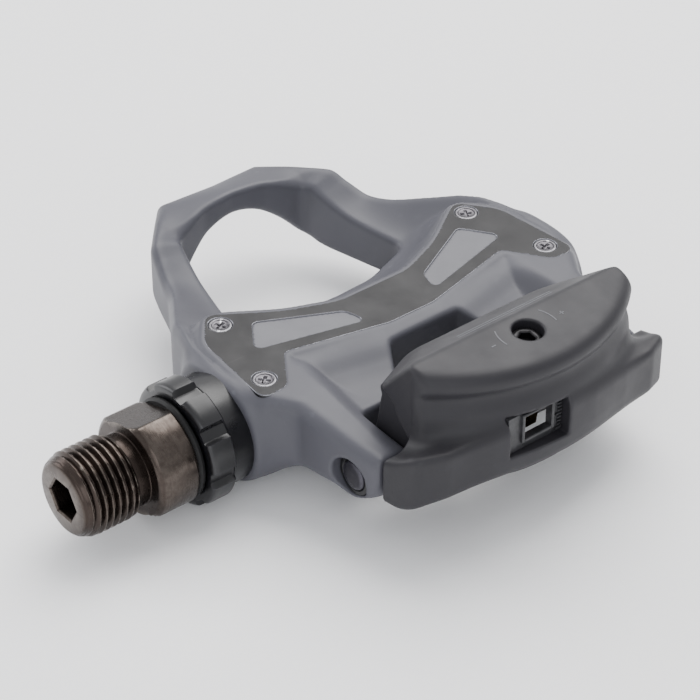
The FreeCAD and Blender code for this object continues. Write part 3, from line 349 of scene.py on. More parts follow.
def tube(name, path, rad, mat, seg=14):
    """round wire along a list of points, with rounded ends"""
    P = np.asarray(path, float)
    T = np.gradient(P, axis=0)
    T /= np.linalg.norm(T, axis=1)[:, None]
    n = np.cross(T[0], [0.0, 1.0, 0.0])
    n /= np.linalg.norm(n)
    V = []
    ang = np.linspace(0, 2 * math.pi, seg, endpoint=False)

    def ring(c, t, nn, r):
        b = np.cross(t, nn)
        return c + r * (np.cos(ang)[:, None] * nn + np.sin(ang)[:, None] * b)
    N = []
    for i in range(len(P)):
        n = n - T[i] * (n @ T[i])
        n /= np.linalg.norm(n)
        N.append(n.copy())
    for k in (3, 2, 1):
        q = k / 3 * math.pi / 2
        V.append(ring(P[0] - T[0] * rad * 0.35 * math.sin(q) + T[0] * rad * 0.35, T[0], N[0], max(rad * math.cos(q), 0.02)))
    for i in range(len(P)):
        if i == 0:
            continue
        V.append(ring(P[i], T[i], N[i], rad))
    for k in (1, 2, 3):
        q = k / 3 * math.pi / 2
        V.append(ring(P[-1] + T[-1] * rad * 0.35 * math.sin(q), T[-1], N[-1], max(rad * math.cos(q), 0.02)))
    m = len(V)
    V = np.concatenate(V)
    F = grid_faces(m, seg)
    F.append(tuple(reversed(range(seg))))
    F.append(tuple(range(len(V) - seg, len(V))))
    return obj_from(name, V, F, True, mat)


# ============================================================ materials
def lin(c):
    return tuple(((v / 255.0) / 12.92 if v / 255.0 <= 0.04045 else ((v / 255.0 + 0.055) / 1.055) ** 2.4) for v in c)


def material(name, rgb, rough=0.5, metal=0.0, spec=0.5, grain=6000.0, bump=0.15, bump_mm=0.02, var=0.10,
             var_scale=160.0, rough_var=0.10, wear=None, wear_at=(0.53, 0.60), coat=0.0, coat_rough=0.3,
             streak=None, dust=0.0, scratch=0.0):
    """procedural finish: tone variation, fine grain in colour and bump, roughness
    variation, worn edges, optional turning marks (streak = scale along each axis)"""
    m = bpy.data.materials.new(name)
    m.use_nodes = True
    nt = m.node_tree
    N, L = nt.nodes, nt.links
    N.clear()
    out = N.new("ShaderNodeOutputMaterial")
    bs = N.new("ShaderNodeBsdfPrincipled")
    L.new(bs.outputs[0], out.inputs[0])
    bs.inputs["Metallic"].default_value = metal
    bs.inputs["Specular IOR Level"].default_value = spec
    bs.inputs["Coat Weight"].default_value = coat
    bs.inputs["Coat Roughness"].default_value = coat_rough
    tc = N.new("ShaderNodeTexCoord")
    src = tc.outputs["Object"]

    def noise(scale, detail=3.0, rough_=0.5, vec=None):
        n = N.new("ShaderNodeTexNoise")
        n.inputs["Scale"].default_value = scale
        n.inputs["Detail"].default_value = detail
        n.inputs["Roughness"].default_value = rough_
        L.new(vec or src, n.inputs["Vector"])
        return n.outputs["Fac"]

    def rng(v, a, b, c, d):
        n = N.new("ShaderNodeMapRange")
        for k, x in zip(("From Min", "From Max", "To Min", "To Max"), (a, b, c, d)):
            n.inputs[k].default_value = x
        L.new(v, n.inputs["Value"])
        return n.outputs["Result"]

    def mix(fac, a, b, blend="MIX"):
        n = N.new("ShaderNodeMix")
        n.data_type = "RGBA"
        n.blend_type = blend
        for s, v in ((n.inputs[0], fac), (n.inputs[6], a), (n.inputs[7], b)):
            if hasattr(v, "is_output"):
                L.new(v, s)
            else:
                s.default_value = v if not isinstance(v, tuple) else (tuple(v) + (1.0,))[:4]
        return n.outputs[2]

    def math_(op, a, b):
        n = N.new("ShaderNodeMath")
        n.operation = op
        for s, v in zip(n.inputs, (a, b)):
            if hasattr(v, "is_output"):
                L.new(v, s)
            else:
                s.default_value = v
        return n.outputs[0]
    lo = tuple(c * (1 - var) for c in rgb)
    hi = tuple(min(1.0, c * (1 + var)) for c in rgb)
    big = noise(var_scale, 4.0, 0.55)
    col = mix(rng(big, 0.3, 0.7, 0.0, 1.0), lo, hi)
    fine = noise(grain, 2.0, 0.6)
    col = mix(rng(fine, 0.35, 0.65, 0.0, 0.5 * var + 0.02), col, tuple(c * 0.55 for c in rgb))
    rv = rng(noise(var_scale * 2.3, 5.0, 0.6), 0.3, 0.7, rough - rough_var, rough + rough_var)
    if dust:
        d = rng(noise(420.0, 6.0, 0.7), 0.56, 0.72, 0.0, dust)
        col = mix(d, col, tuple(min(1, c * 1.6 + 0.02) for c in rgb))
    height = fine
    if streak:
        mp = N.new("ShaderNodeMapping")
        mp.inputs["Scale"].default_value = streak
        L.new(src, mp.inputs["Vector"])
        st = noise(1.0, 3.0, 0.6, mp.outputs[0])
        col = mix(rng(st, 0.3, 0.7, 0.0, 0.55), col, tuple(c * 0.6 for c in rgb))
        rv = math_("ADD", rv, rng(st, 0.3, 0.7, -0.07, 0.07))
        height = math_("ADD", fine, math_("MULTIPLY", st, 1.5))
    if scratch:
        mp = N.new("ShaderNodeMapping")
        mp.inputs["Scale"].default_value = (2600.0, 90.0, 2600.0)
        mp.inputs["Rotation"].default_value = (0.0, 0.0, 0.5)
        L.new(src, mp.inputs["Vector"])
        sc = rng(noise(1.0, 2.0, 0.5, mp.outputs[0]), 0.70, 0.76, 0.0, scratch)
        col = mix(sc, col, tuple(min(1, c * 1.8 + 0.04) for c in rgb))
        height = math_("SUBTRACT", height, sc)
    if wear:
        ge = N.new("ShaderNodeNewGeometry")
        e = rng(ge.outputs["Pointiness"], wear_at[0], wear_at[1], 0.0, 1.0)
        e = math_("MULTIPLY", e, rng(noise(900.0, 4.0, 0.65), 0.35, 0.6, 0.35, 1.0))
        n = N.new("ShaderNodeClamp")
        L.new(e, n.inputs[0])
        e = n.outputs[0]
        col = mix(e, col, tuple(wear))
    L.new(col, bs.inputs["Base Color"])
    cl = N.new("ShaderNodeClamp")
    cl.inputs[1].default_value = 0.04
    L.new(rv, cl.inputs[0])
    L.new(cl.outputs[0], bs.inputs["Roughness"])
    bp = N.new("ShaderNodeBump")
    bp.inputs["Strength"].default_value = bump
    bp.inputs["Distance"].default_value = bump_mm * MM
    L.new(height, bp.inputs["Height"])
    L.new(bp.outputs[0], bs.inputs["Normal"])
    return m


M = {}
M["body"] = material("body_resin", lin((74, 74, 81)), 0.46, spec=0.38, grain=5200, bump=0.35, bump_mm=0.012, var=0.05,
                     var_scale=45, rough_var=0.05, wear=lin((84, 85, 92)), wear_at=(0.54, 0.66), dust=0.10)
M["claw"] = material("claw_resin", lin((37, 36, 40)), 0.50, spec=0.32, grain=4200, bump=0.55, bump_mm=0.016, var=0.07,
                     var_scale=60, rough_var=0.06, wear=lin((46, 45, 49)), wear_at=(0.515, 0.58), dust=0.08)
M["plate"] = material("plate_steel", lin((18, 17, 19)), 0.40, metal=0.3, spec=0.35, grain=3800, bump=0.25, bump_mm=0.008,
                      var=0.08, var_scale=80, rough_var=0.07, scratch=0.12)
# painted highlight: bright metal for the plate's upward bevels, standing in for the light line along its edges
M["edge"] = material("plate_bevel_painted_highlight", lin((120, 120, 126)), 0.24, metal=0.9, spec=0.5, grain=2400, bump=0.2, bump_mm=0.006,
                     var=0.10, var_scale=220, rough_var=0.08)
M["spindle"] = material("spindle_steel", lin((64, 56, 52)), 0.27, metal=0.95, spec=0.5, grain=2600, bump=0.25,
                        bump_mm=0.006, var=0.14, var_scale=130, rough_var=0.10, wear=lin((140, 132, 124)),
                        wear_at=(0.52, 0.60), streak=(260.0, 3800.0, 260.0))
M["sleeve"] = material("sleeve_plastic", lin((14, 14, 17)), 0.32, spec=0.42, grain=3000, bump=0.2, bump_mm=0.008, var=0.08,
                       var_scale=110, rough_var=0.07, wear=lin((34, 33, 38)), wear_at=(0.52, 0.60), coat=0.15)
M["rubber"] = material("seal_rubber", lin((10, 10, 11)), 0.62, spec=0.35, grain=4200, bump=0.4, bump_mm=0.01, var=0.15,
                       var_scale=200, rough_var=0.08)
M["screw"] = material("screw_steel", lin((86, 84, 88)), 0.28, metal=0.9, spec=0.5, grain=2400, bump=0.25, bump_mm=0.005,
                      var=0.12, var_scale=500, rough_var=0.1, wear=lin((205, 205, 208)), wear_at=(0.52, 0.60))
M["pin"] = material("pin_steel", lin((36, 34, 42)), 0.34, metal=0.55, spec=0.5, grain=2600, bump=0.2, bump_mm=0.006,
                    var=0.12, var_scale=300, rough_var=0.08, wear=lin((130, 128, 138)), wear_at=(0.52, 0.6))
M["bush"] = material("bush_plastic", lin((14, 14, 16)), 0.35, spec=0.5, grain=3200, bump=0.2, bump_mm=0.006, var=0.1,
                     var_scale=300, rough_var=0.08)
M["spring"] = material("spring_steel", lin((36, 34, 37)), 0.3, metal=0.7, spec=0.5, grain=2600, bump=0.2, bump_mm=0.006,
                       var=0.15, var_scale=400, rough_var=0.1)
M["bezel"] = material("bezel_plastic", lin((16, 16, 18)), 0.42, spec=0.45, grain=3800, bump=0.3, bump_mm=0.008, var=0.1,
                      var_scale=200, rough_var=0.06, wear=lin((50, 50, 53)), wear_at=(0.52, 0.62))
M["bearing"] = material("bearing_steel", lin((196, 197, 199)), 0.14, metal=1.0, spec=0.5, grain=2200, bump=0.1,
                        bump_mm=0.003, var=0.06, var_scale=200, rough_var=0.05, streak=(200.0, 2600.0, 200.0))
M["zinc"] = material("zinc_steel", lin((172, 172, 166)), 0.32, metal=0.95, spec=0.5, grain=2600, bump=0.2, bump_mm=0.006,
                     var=0.12, var_scale=260, rough_var=0.1)
M["alloy"] = material("tube_alloy", lin((178, 178, 181)), 0.30, metal=0.95, spec=0.5, grain=2600, bump=0.15, bump_mm=0.005,
                      var=0.08, var_scale=150, rough_var=0.08, streak=(200.0, 3000.0, 200.0))
M["brass"] = material("nut_brass", lin((84, 70, 44)), 0.34, metal=0.95, spec=0.5, grain=2400, bump=0.2, bump_mm=0.006,
                      var=0.12, var_scale=200, rough_var=0.1)
M["lip"] = material("lip_steel", lin((20, 19, 21)), 0.34, metal=0.7, spec=0.5, grain=2800, bump=0.2, bump_mm=0.006, var=0.1,
                    var_scale=200, rough_var=0.08)
M["mark"] = material("mark_ink", lin((84, 85, 90)), 0.5, spec=0.4, grain=3500, bump=0.2, bump_mm=0.005, var=0.08,
                     var_scale=300, rough_var=0.06, dust=0.1)
M["black"] = material("bolt_black", lin((34, 33, 35)), 0.34, metal=0.6, spec=0.5, grain=2400, bump=0.25, bump_mm=0.005,
                      var=0.12, var_scale=500, rough_var=0.1, wear=lin((80, 79, 82)), wear_at=(0.53, 0.60))
M["floor"] = material("floor_paper", lin((252, 252, 253)), 0.8, spec=0.2, grain=900, bump=0.03, bump_mm=0.02, var=0.01,
                      var_scale=12, rough_var=0.04)

CAD_FINISH = {"dust_seal": "rubber", "o_ring": "rubber", "inboard_cone": "bearing", "outboard_cone": "bearing",
              "tab_washer": "zinc", "lock_nut": "zinc", "inboard_cup": "bearing", "outboard_cup": "bearing",
              "spacer_tube": "alloy", "inboard_balls": "bearing", "outboard_balls": "bearing", "claw_lip": "lip",
              "retaining_clip": "zinc", "tension_nut": "brass", "spindle": "spindle", "lock_sleeve": "sleeve",
              "body_shell": "body", "cleat_plate": "plate", "plate_screws": "screw", "pivot_pin": "pin",
              "pivot_bushes": "bush", "spring_inboard": "spring", "spring_outboard": "spring", "rear_claw": "claw",
              "gauge_bezel": "bezel", "adjust_bolt": "screw"}
for node, key in CAD_FINISH.items():
    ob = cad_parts[node]
    ob.data.materials.clear()
    ob.data.materials.append(M[key])


def put(ob, body, slot, *nodes):
    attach(ob, body)
    if nodes:
        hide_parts(*nodes)
    return ob


# ============================================================ body shell
OUTLINE = rounded(mirror([
    (50.0, 0, 0), (50.7, 10.6, 1.6), (39.4, 20.1, 6), (28.8, 24.0, 14), (17.6, 31.6, 9),
    (9.5, 34.4, 10), (-1.0, 35.2, 14), (-9.4, 33.2, 4.5), (-13.8, 30.3, 5), (-31.2, 27.6, 0)]))
HOLE = rounded(mirror([
    (42.6, 0, 0), (42.2, 6.2, 8), (39.9, 13.8, 2.6), (18.4, 18.6, 2.4), (14.3, 7.6, 12), (13.9, 0, 0)]))
PLATE = rounded(mirror([
    (4.1, 0, 0), (4.1, 7.4, 9), (7.6, 16.2, 26), (14.7, 26.8, 1.9), (8.4, 31.8, 8),
    (-9.6, 33.5, 3.2), (-9.1, 28.2, 2.6), (-1.7, 23.1, 1.3), (-6.02, 4.6, 7), (-6.02, 0, 0)]), 9)
PANE = rounded([(8.1, 22.1, 1.1), (1.9, 26.4, 1.1), (-3.0, 7.3, 0.9), (1.2, 8.5, 2.0)], 6)
FORK = rounded(mirror([(-8.9, 0, 0), (-8.9, 7.2, 1.2), (-17.9, 12.5, 1.0), (-17.9, 21.0, 1.6), (-40.0, 21.0, 0)]))

z_out = curve([(-12, 9.72), (12.5, 9.72), (16.5, 8.9), (22.3, 7.1), (28, 5.5), (31.5, 5.1), (36, 6.6), (39.6, 8.1),
               (44, 7.9), (50.6, 6.9)])
z_in = curve([(-12, 2.6), (12, 2.6), (15, 2.5), (18.5, 2.4), (23, 2.6), (30, 3.3), (36, 5.2), (39.5, 7.0), (42.0, 8.9),
              (52, 9.0)])
z_ear = curve([(-32, 6.6), (-27, 7.1), (-23, 7.7), (-17, 8.9), (-12.5, 9.6), (-9, 9.72), (0, 9.72)])
z_low = curve([(-31.0, 0.6), (-29.9, -0.6), (-27.1, -2.8), (-24.4, -3.9), (-20.7, -3.4), (-15.5, -3.4), (-11, -4.3),
               (-8, -5.2), (8, -5.2), (16, -5.0), (22, -5.3), (34, -5.3), (41, -4.2), (48.3, 0.6), (51.2, 3.8)])
dip = curve([(0, 0.12), (3, 0.95), (6, 2.35), (9, 3.3), (12, 3.75), (20, 3.9)], 0, 40)


LO, HI = (-34.0, -1.0), (54.0, 39.0)
d_out, d_hole, d_plate, d_pane, d_fork = (table(q, LO, HI) for q in (OUTLINE, HOLE, PLATE, PANE, FORK))


def body_F(x, y, z):
    a = np.abs(y)
    out = d_out(x, a)
    hole = d_hole(x, a)
    plate = d_plate(x, a)
    pane = d_pane(x, a)
    fork = d_fork(x, a)
    r = np.sqrt(x * x + z * z)
    # height of the upper side
    dh = np.maximum(hole, 0.02)
    dp = np.maximum(np.minimum(plate - 0.6, -out - 0.9), 0.0)
    t = dh / (dh + dp)
    p = 1.75 - 0.75 * sstep(28.0, 39.0, x)
    zi = z_in(x) - 2.1 * (np.minimum(a, 14.0) / 14.0) ** 2 * sstep(38.0, 41.5, x)
    zf = zi + (z_out(x) - zi) * t ** p
    w = sstep(19.8, 24.6, a)
    zr = (9.72 - dip(np.maximum(plate - 0.5, 0.0))) * (1 - w) + z_ear(x) * w
    m = sstep(-6.0, -2.0, x)
    zt = zf * m + zr * (1 - m)
    f = smax(out, z_low(x) - z, 3.4)
    f = smin(f, smax(r - 10.0, a - 35.15, 1.0), 4.0)
    f = smax(f, z - zt, 2.3)
    # underside: crossbar arch, ribs between barrel and loop
    arch = 4.3 - 8.2 * (a / 13.5) ** 2 + 0.0 * x
    f = smax(f, -smax(smax(z - arch, 38.5 - x, 2.0), x - 49.0, 1.5), 1.6)
    f = smax(f, -hole, 1.1)
    f = smax(f, -fork, 1.0)
    # plate seat and the two pads that fill the plate's windows
    seat = np.maximum(np.maximum(plate + 0.45, -(pane - 0.45)), 8.9 - z)
    f = np.maximum(f, -seat)
    f = np.maximum(f, np.where(pane < 0.9, z - 9.52, -9.0))
    # pivot bore with a shallow ring round it
    rp = np.sqrt((x - PX) ** 2 + (z - PZ) ** 2)
    f = smax(f, 3.56 - rp, 0.35)
    # ears stop short of the wings
    f = smax(f, -30.45 - x, 0.9)
    rr = np.where(z < PZ, rp - 6.25, -9.0)
    f = np.maximum(f, np.where(x < PX, rr, -9.0))
    # bearing bore, blind at the outboard end
    rb = np.where(y > 26.7, 8.2, np.where(y > -18.8, 8.05, 6.5))
    f = np.maximum(f, -np.maximum(r - rb, -30.0 - y))
    # holes for the springs' front legs
    u = (x + 17.9) * 0.94 + (z + 0.87) * 0.342
    d2 = np.sqrt((a - 14.15) ** 2 + ((z + 0.87) * 0.94 - (x + 17.9) * 0.342) ** 2)
    f = np.maximum(f, -np.maximum(d2 - 1.05, np.maximum(u - 3.0, -4.0 - u)))
    return f


M["pane"] = material("body_pane", lin((84, 84, 90)), 0.42, spec=0.5, grain=5200, bump=0.3, bump_mm=0.01, var=0.05,
                     var_scale=90, rough_var=0.05, dust=0.10)
P, Q = nets(body_F, (-32.0, -36.6, -11.4), (52.0, 36.6, 11.4), C1)
shell = obj_from("body_moulding", P, Q, True, M["body"], MID)
me = shell.data
me.materials.append(M["pane"])
ctr = np.empty(len(me.polygons) * 3)
me.polygons.foreach_get("center", ctr)
ctr = ctr.reshape(-1, 3) / MM
on_pane = (ctr[:, 2] > 9.30) & (poly(ctr[:, 0], np.abs(ctr[:, 1] - MID), PANE) < -0.12)
me.polygons.foreach_set("material_index", on_pane.astype(np.int32))
put(shell, "pedal_body", "body_resin", "body_shell")

# ============================================================ rear claw
SIDE = [(-18.95, 40.0), (-18.95, 13.5), (-22.2, 13.2), (-22.6, 12.4), (-20.9, 3.4), (-20.4, 0.7), (-21.6, -2.2),
        (-24.3, -3.2), (-26.5, -2.9), (-31.0, -1.4), (-38.8, -0.6), (-52.0, -0.6), (-52.0, 40.0)]
CAVITY = [(-10.0, -9.0), (-10.0, 12.4), (-22.8, 12.4), (-24.6, 12.9), (-29.5, 17.4), (-35.0, 17.007), (-36.4, 15.0),
          (-36.4, -9.0)]
DEEP = [(-33.0, -9.0), (-33.0, 17.15), (-36.5, 16.9), (-39.0, 14.0), (-39.0, 4.5), (-37.0, -9.0)]
EAR_ROOM = [(-12.0, -9.0), (-12.0, 14.6), (-23.2, 14.6), (-25.3, 14.3), (-26.8, 13.2), (-28.0, 10.6), (-30.2, 9.0),
            (-31.0, 8.5), (-31.0, -9.0)]
WING = rounded([(-31.05, -3.0, 0), (-31.05, 27.5, 0.4), (-33.4, 27.2, 1.6), (-37.6, 26.1, 2.6), (-39.7, 21.6, 5),
                (-41.1, 14.0, 8), (-42.1, 6.0, 8), (-42.3, -3.0, 0)])
wall_r = curve([(-4, -5.5), (-0.6, -3.4), (3.2, -1.1), (7, -0.15), (11, 0.0), (14, -0.25), (17.2, -1.05), (19.2, -0.25),
                (21.0, 0.0), (24, 0.0)], -10, 30)
wing_top = curve([(-41, 11.2), (-37.2, 10.7), (-33.5, 8.9), (-30.6, 7.9)], -60, 0)
wing_low = curve([(-42, 3.6), (-38.3, 1.7), (-34.0, -0.4), (-30.5, -0.5)], -60, 0)
TILT = math.radians(8.0)
BX, BY, BZ = -34.1, 1.0, 21.6
W0, W1, W2, W3 = -0.3, 10.8, 6.4, 13.2


d_side, d_cav, d_deep, d_room = (table(q, (-46.0, -7.0), (-14.0, 27.0)) for q in (SIDE, CAVITY, DEEP, EAR_ROOM))
d_wing = table(WING, (-46.0, -1.0), (-14.0, 31.0))


def claw_F(x, y, z):
    a = np.abs(y)
    # sloping front, ridge, nearly flat top
    ramp = (z - 17.3 + (x + 22.0) * 0.625) * 0.848
    nose = (z - 14.2 + (x + 18.95) * 1.02) * 0.70
    top = z - 22.3 - (x + 30.0) * 0.075
    f = smax(smax(ramp, nose, 0.5), top, 0.5)
    corner = 0.713 * (x + 21.8) + 0.320 * (a - 13.0) + 0.625 * (z - 17.0)
    f = smax(f, corner, 0.45)
    # round tail
    tail = np.sqrt((x + 10.1) ** 2 + y * y) - 32.3 - wall_r(z)
    f = smax(f, tail, 3.0)
    f = smax(f, a - 21.8, 1.0)
    f = smax(f, d_side(x, z), 0.6)
    # wings
    w = smax(d_wing(x, a), z - wing_top(x), 1.5)
    w = smax(w, wing_low(x) - z, 1.4)
    f = smin(f, w, 3.4)
    # nothing forward of the wings' front face outside the ears
    f = smax(f, np.minimum(x + 31.02, a - 21.85), 0.4)
    # room for the ears
    room = smax(d_room(x, z), 20.62 - a, 0.3)
    f = smax(f, -room, 0.4)
    # cavity with springs and nut
    cav = smax(d_cav(x, z), a - 15.2, 0.5)
    f = smax(f, -cav, 0.5)
    f = smax(f, -smax(d_deep(x, z), a - 11.0, 0.5), 0.5)
    # pivot
    f = np.maximum(f, 2.62 - np.sqrt((x - PX) ** 2 + (z - PZ) ** 2))
    # gauge window
    win = np.maximum(np.maximum(W0 - y, y - W1), np.maximum(W2 - z, z - W3))
    win = smax(win, x + 38.0, 0.3)
    f = smax(f, -win, 0.35)
    # adjusting bolt: counterbore and way
    u = -(x - BX) * math.sin(TILT) + (z - BZ) * math.cos(TILT)
    v = (x - BX) * math.cos(TILT) + (z - BZ) * math.sin(TILT)
    rb = np.sqrt(v * v + (y - BY) ** 2)
    f = smax(f, -np.maximum(rb - 2.52, -3.3 - u), 0.45)
    f = np.maximum(f, 2.12 - rb)
    return f


P, Q = nets(claw_F, (-43.4, -28.6, -4.2), (-17.6, 28.6, 23.4), C2)
claw = obj_from("claw_moulding", P, Q, True, M["claw"], MID)
put(claw, "claw", "claw_resin", "rear_claw")

# ============================================================ cleat plate
def circle(cx, cy, r, n=40):
    return [(cx + r * math.cos(2 * math.pi * k / n), cy + r * math.sin(2 * math.pi * k / n)) for k in range(n)]


SCREWS = [(10.9, 26.5), (10.9, -26.5), (-5.3, 30.0), (-5.3, -30.0)]
loops = [PLATE, PANE, [(x, -y) for x, y in PANE[::-1]]] + [circle(x, y, 1.99) for x, y in SCREWS]
plate = plate_from("cleat_plate_bevelled", loops, 8.5, 9.7, 0.16, M["plate"], res=1)
me = plate.data
me.materials.append(M["edge"])
# faces on the upward-facing bevels get the bright metal: a painted highlight along the plate's top edges
for f in me.polygons:
    if 0.15 < f.normal.z < 0.97:
        f.material_index = 1
put(plate, "pedal_body", "plate_steel", "cleat_plate")


def cross_r(half, arm):
    """outline of a cross recess as a radius for each angle"""
    def r(t):
        q = np.mod(t + math.pi / 4, math.pi / 2) - math.pi / 4
        return np.minimum(arm / np.cos(q), np.maximum(half / np.maximum(np.abs(np.sin(q)), 1e-6), half * 1.25))
    return r


def add_mesh(parts, name, mat):
    V, F, n = [], [], 0
    for v, f in parts:
        V.append(v)
        F += [tuple(i + n for i in q) for q in f]
        n += len(v)
    return obj_from(name, np.concatenate(V), F, True, mat)


def lathe_z(rings, seg, cx, cy, turn=0.0):
    t = np.linspace(0, 2 * math.pi, seg, endpoint=False)
    V = []
    for z, r in rings:
        rr = r(t) if callable(r) else np.full(seg, float(r))
        V.append(np.stack([cx + rr * np.cos(t + turn), cy + rr * np.sin(t + turn), np.full(seg, float(z))], 1))
    V = np.concatenate(V)
    F = [tuple(reversed(q)) for q in grid_faces(len(rings), seg)]
    n = len(V)
    V = np.concatenate([V, [V[:seg].mean(0)], [V[n - seg:n].mean(0)]])
    F += [(n, j, (j + 1) % seg) for j in range(seg)]
    F += [(n + 1, n - seg + (j + 1) % seg, n - seg + j) for j in range(seg)]
    return V, F


parts = []
for i, (x, y) in enumerate(SCREWS):
    tip = 8.9 - (6.5 if x > 0 else 1.5)
    turn = (0.35, 1.1, 0.7, 0.2)[i]
    zt = 9.65
    rings = [(zt - 0.5, lambda t: cross_r(0.24, 0.95)(t) * 0.55), (zt - 0.42, lambda t: cross_r(0.26, 0.98)(t) * 0.72),
             (zt - 0.2, cross_r(0.28, 1.0)), (zt - 0.16, cross_r(0.32, 1.06)),
             (zt - 0.16, 1.30), (zt - 0.13, 1.38), (zt - 0.02, 1.50), (zt, 1.56), (zt, 1.78), (zt - 0.05, 1.88),
             (zt - 0.16, 1.94), (zt - 0.7, 1.94), (zt - 0.75, 1.88), (zt - 0.75, 1.28)]
    z = zt - 0.75
    k = 0
    while z > tip + 0.5:
        z -= 0.125
        k += 1
        rings.append((z, 1.28 if k % 4 == 2 else (1.0 if k % 4 == 0 else 1.14)))
    rings += [(tip + 0.2, 0.95), (tip, 0.7)]
    parts.append(lathe_z(rings, 72, x, y + MID, turn))
scr = add_mesh(parts, "plate_screws_turned", M["screw"])
sharp(scr, 30)
put(scr, "pedal_body", "screw_steel", "plate_screws")

# ============================================================ spindle with a cut thread
def hex_r(af, turn=0.0):
    def r(t):
        q = np.mod(t - turn, math.pi / 3) - math.pi / 6
        return (af / 2) / np.cos(q)
    return r


PITCH = 1.27
TH = 7.144


def thread_r(y):
    """outer radius at height y for each angle: 60 degree ridges with a flat crest"""
    def r(t):
        ph = np.mod(y / PITCH - t / (2 * math.pi), 1.0)
        tri = np.abs(ph - 0.5) * 2.0                # 0 at the crest, 1 at the root
        depth = np.clip((tri - 0.14) / 0.72, 0, 1) * 0.80
        lead = max(0.0, min(1.0, (y - 2.25) / 0.9))     # thread runs out at the neck
        end = max(0.0, min(1.0, (9.95 - y) / 0.5))
        rr = TH - depth
        rr = np.minimum(rr, 6.35 + (TH - 6.35) * min(1.0, 0.15 + lead))
        if y > 9.95:
            rr = np.minimum(rr, TH - (y - 9.95) * 0.44 - 0.0)
        return np.maximum(rr, 6.10)
    return r


def flats(r0, y):
    a0 = math.radians(90.0 - 19.4)

    def r(t):
        return np.minimum(r0, 7.5 / np.maximum(np.abs(np.cos(t - a0)), 1e-6))
    return r


SEG = 192
rings = [(4.3, 0.3), (4.3, hex_r(5.6)), (4.6, hex_r(6.0)), (11.75, hex_r(6.0)), (12.05, hex_r(6.15)), (12.3, hex_r(6.7)),
         (12.3, 5.55), (12.22, 5.85), (12.05, 6.05), (11.8, 6.18)]
y = 11.7
while y > 2.3:
    rings.append((y, thread_r(y)))
    y -= 0.07
rings += [(2.2, 6.2), (2.0, 6.15), (0.12, 6.15), (0.0, 6.3), (0.0, 7.9)]
rings += [(-0.04, flats(8.2, 0)), (-0.3, flats(8.62, 0)), (-0.6, flats(8.86, 0)), (-0.85, flats(9.0, 0)),
          (-6.9, flats(9.0, 0)), (-7.2, flats(8.9, 0)), (-7.5, flats(8.62, 0)), (-7.7, flats(8.3, 0)),
          (-7.7, 7.5), (-8.9, 7.5), (-8.9, 6.0), (-26.2, 6.0), (-26.2, 4.2), (-66.0, 4.2), (-66.0, 3.5),
          (-77.0, 3.5), (-77.5, 3.0)]
spin = turned("spindle_threaded", rings, SEG, M["spindle"], angle=32)
put(spin, "spindle_unit", "spindle_steel", "spindle")

# ============================================================ lock sleeve
def notch(r0, depth, n=8, half=0.105, soft=0.035, turn=0.12):
    def r(t):
        q = np.abs(np.mod((t - turn) * n / (2 * math.pi) + 0.5, 1.0) - 0.5) * 2 * math.pi / n
        return r0 - depth * (1 - sstep(half, half + soft, q))
    return r


rings = [(-26.2, 7.1), (-26.2, 7.9)]
y = -26.0
k = 0
while y < -18.2:
    rings.append((y, 8.14 if k % 4 == 2 else (7.75 if k % 4 == 0 else 7.95)))
    y += 0.25
    k += 1
rings += [(-18.0, 8.1), (-17.9, 8.15), (-17.9, 9.05), (-17.78, 9.25), (-17.6, 9.35), (-13.95, 9.35), (-13.8, 9.4),
          (-13.6, 9.6),
          (-13.6, notch(10.0, 0.5)), (-13.45, notch(10.3, 0.8)), (-13.2, notch(10.5, 1.0)), (-12.9, notch(10.5, 1.1)),
          (-10.2, notch(10.5, 1.1)), (-9.6, notch(10.46, 1.05)), (-9.25, notch(10.28, 0.9)), (-9.08, notch(10.0, 0.6)),
          (-9.05, 9.2), (-9.05, 8.6), (-9.3, 8.4), (-9.3, 6.1), (-11.8, 6.08), (-11.8, 7.15), (-13.0, 7.15),
          (-13.0, 6.08), (-16.2, 6.08), (-16.2, 7.1)]
sl = turned("lock_sleeve_splined", rings + [rings[0]], 240, M["sleeve"], cap=(False, False), flip=True,
            angle=32)
put(sl, "pedal_body", "sleeve_plastic", "lock_sleeve")

# ============================================================ pivot pin and bushes
rings = [(-80.9, 0.6), (-80.9, 1.75), (-80.8, 2.15), (-80.6, 2.4), (-80.3, 2.5), (-70, 2.5), (-36, 2.5), (-25.7, 2.5),
         (-25.4, 2.4), (-25.2, 2.15), (-25.1, 1.75), (-25.1, 0.6)]
pin = turned("pivot_pin_turned", rings, 64, M["pin"], centre=(PX, PZ), flip=True)
put(pin, "pedal_body", "pin_steel", "pivot_pin")
for s, tag in ((1, "in"), (-1, "out")):
    a, b = (MID + 21.6, MID + 27.45) if s > 0 else (MID - 27.45, MID - 21.6)
    rings = [(a, 2.53), (a, 3.3), (a + 0.2, 3.5), (b - 0.25, 3.5), (b - 0.05, 3.35), (b, 3.15), (b, 2.75), (b - 0.15, 2.56),
             (b - 0.5, 2.53)] if s > 0 else [(a + 0.5, 2.53), (a + 0.15, 2.56), (a, 2.75), (a, 3.15), (a + 0.05, 3.35),
             (a + 0.25, 3.5), (b - 0.2, 3.5), (b, 3.3), (b, 2.53)]
    bu = turned("pivot_bush_" + tag, rings + [rings[0]], 64, M["bush"], centre=(PX, PZ), cap=(False, False), flip=True)
    put(bu, "pedal_body", "bush_plastic", *(("pivot_bushes",) if s > 0 else ()))

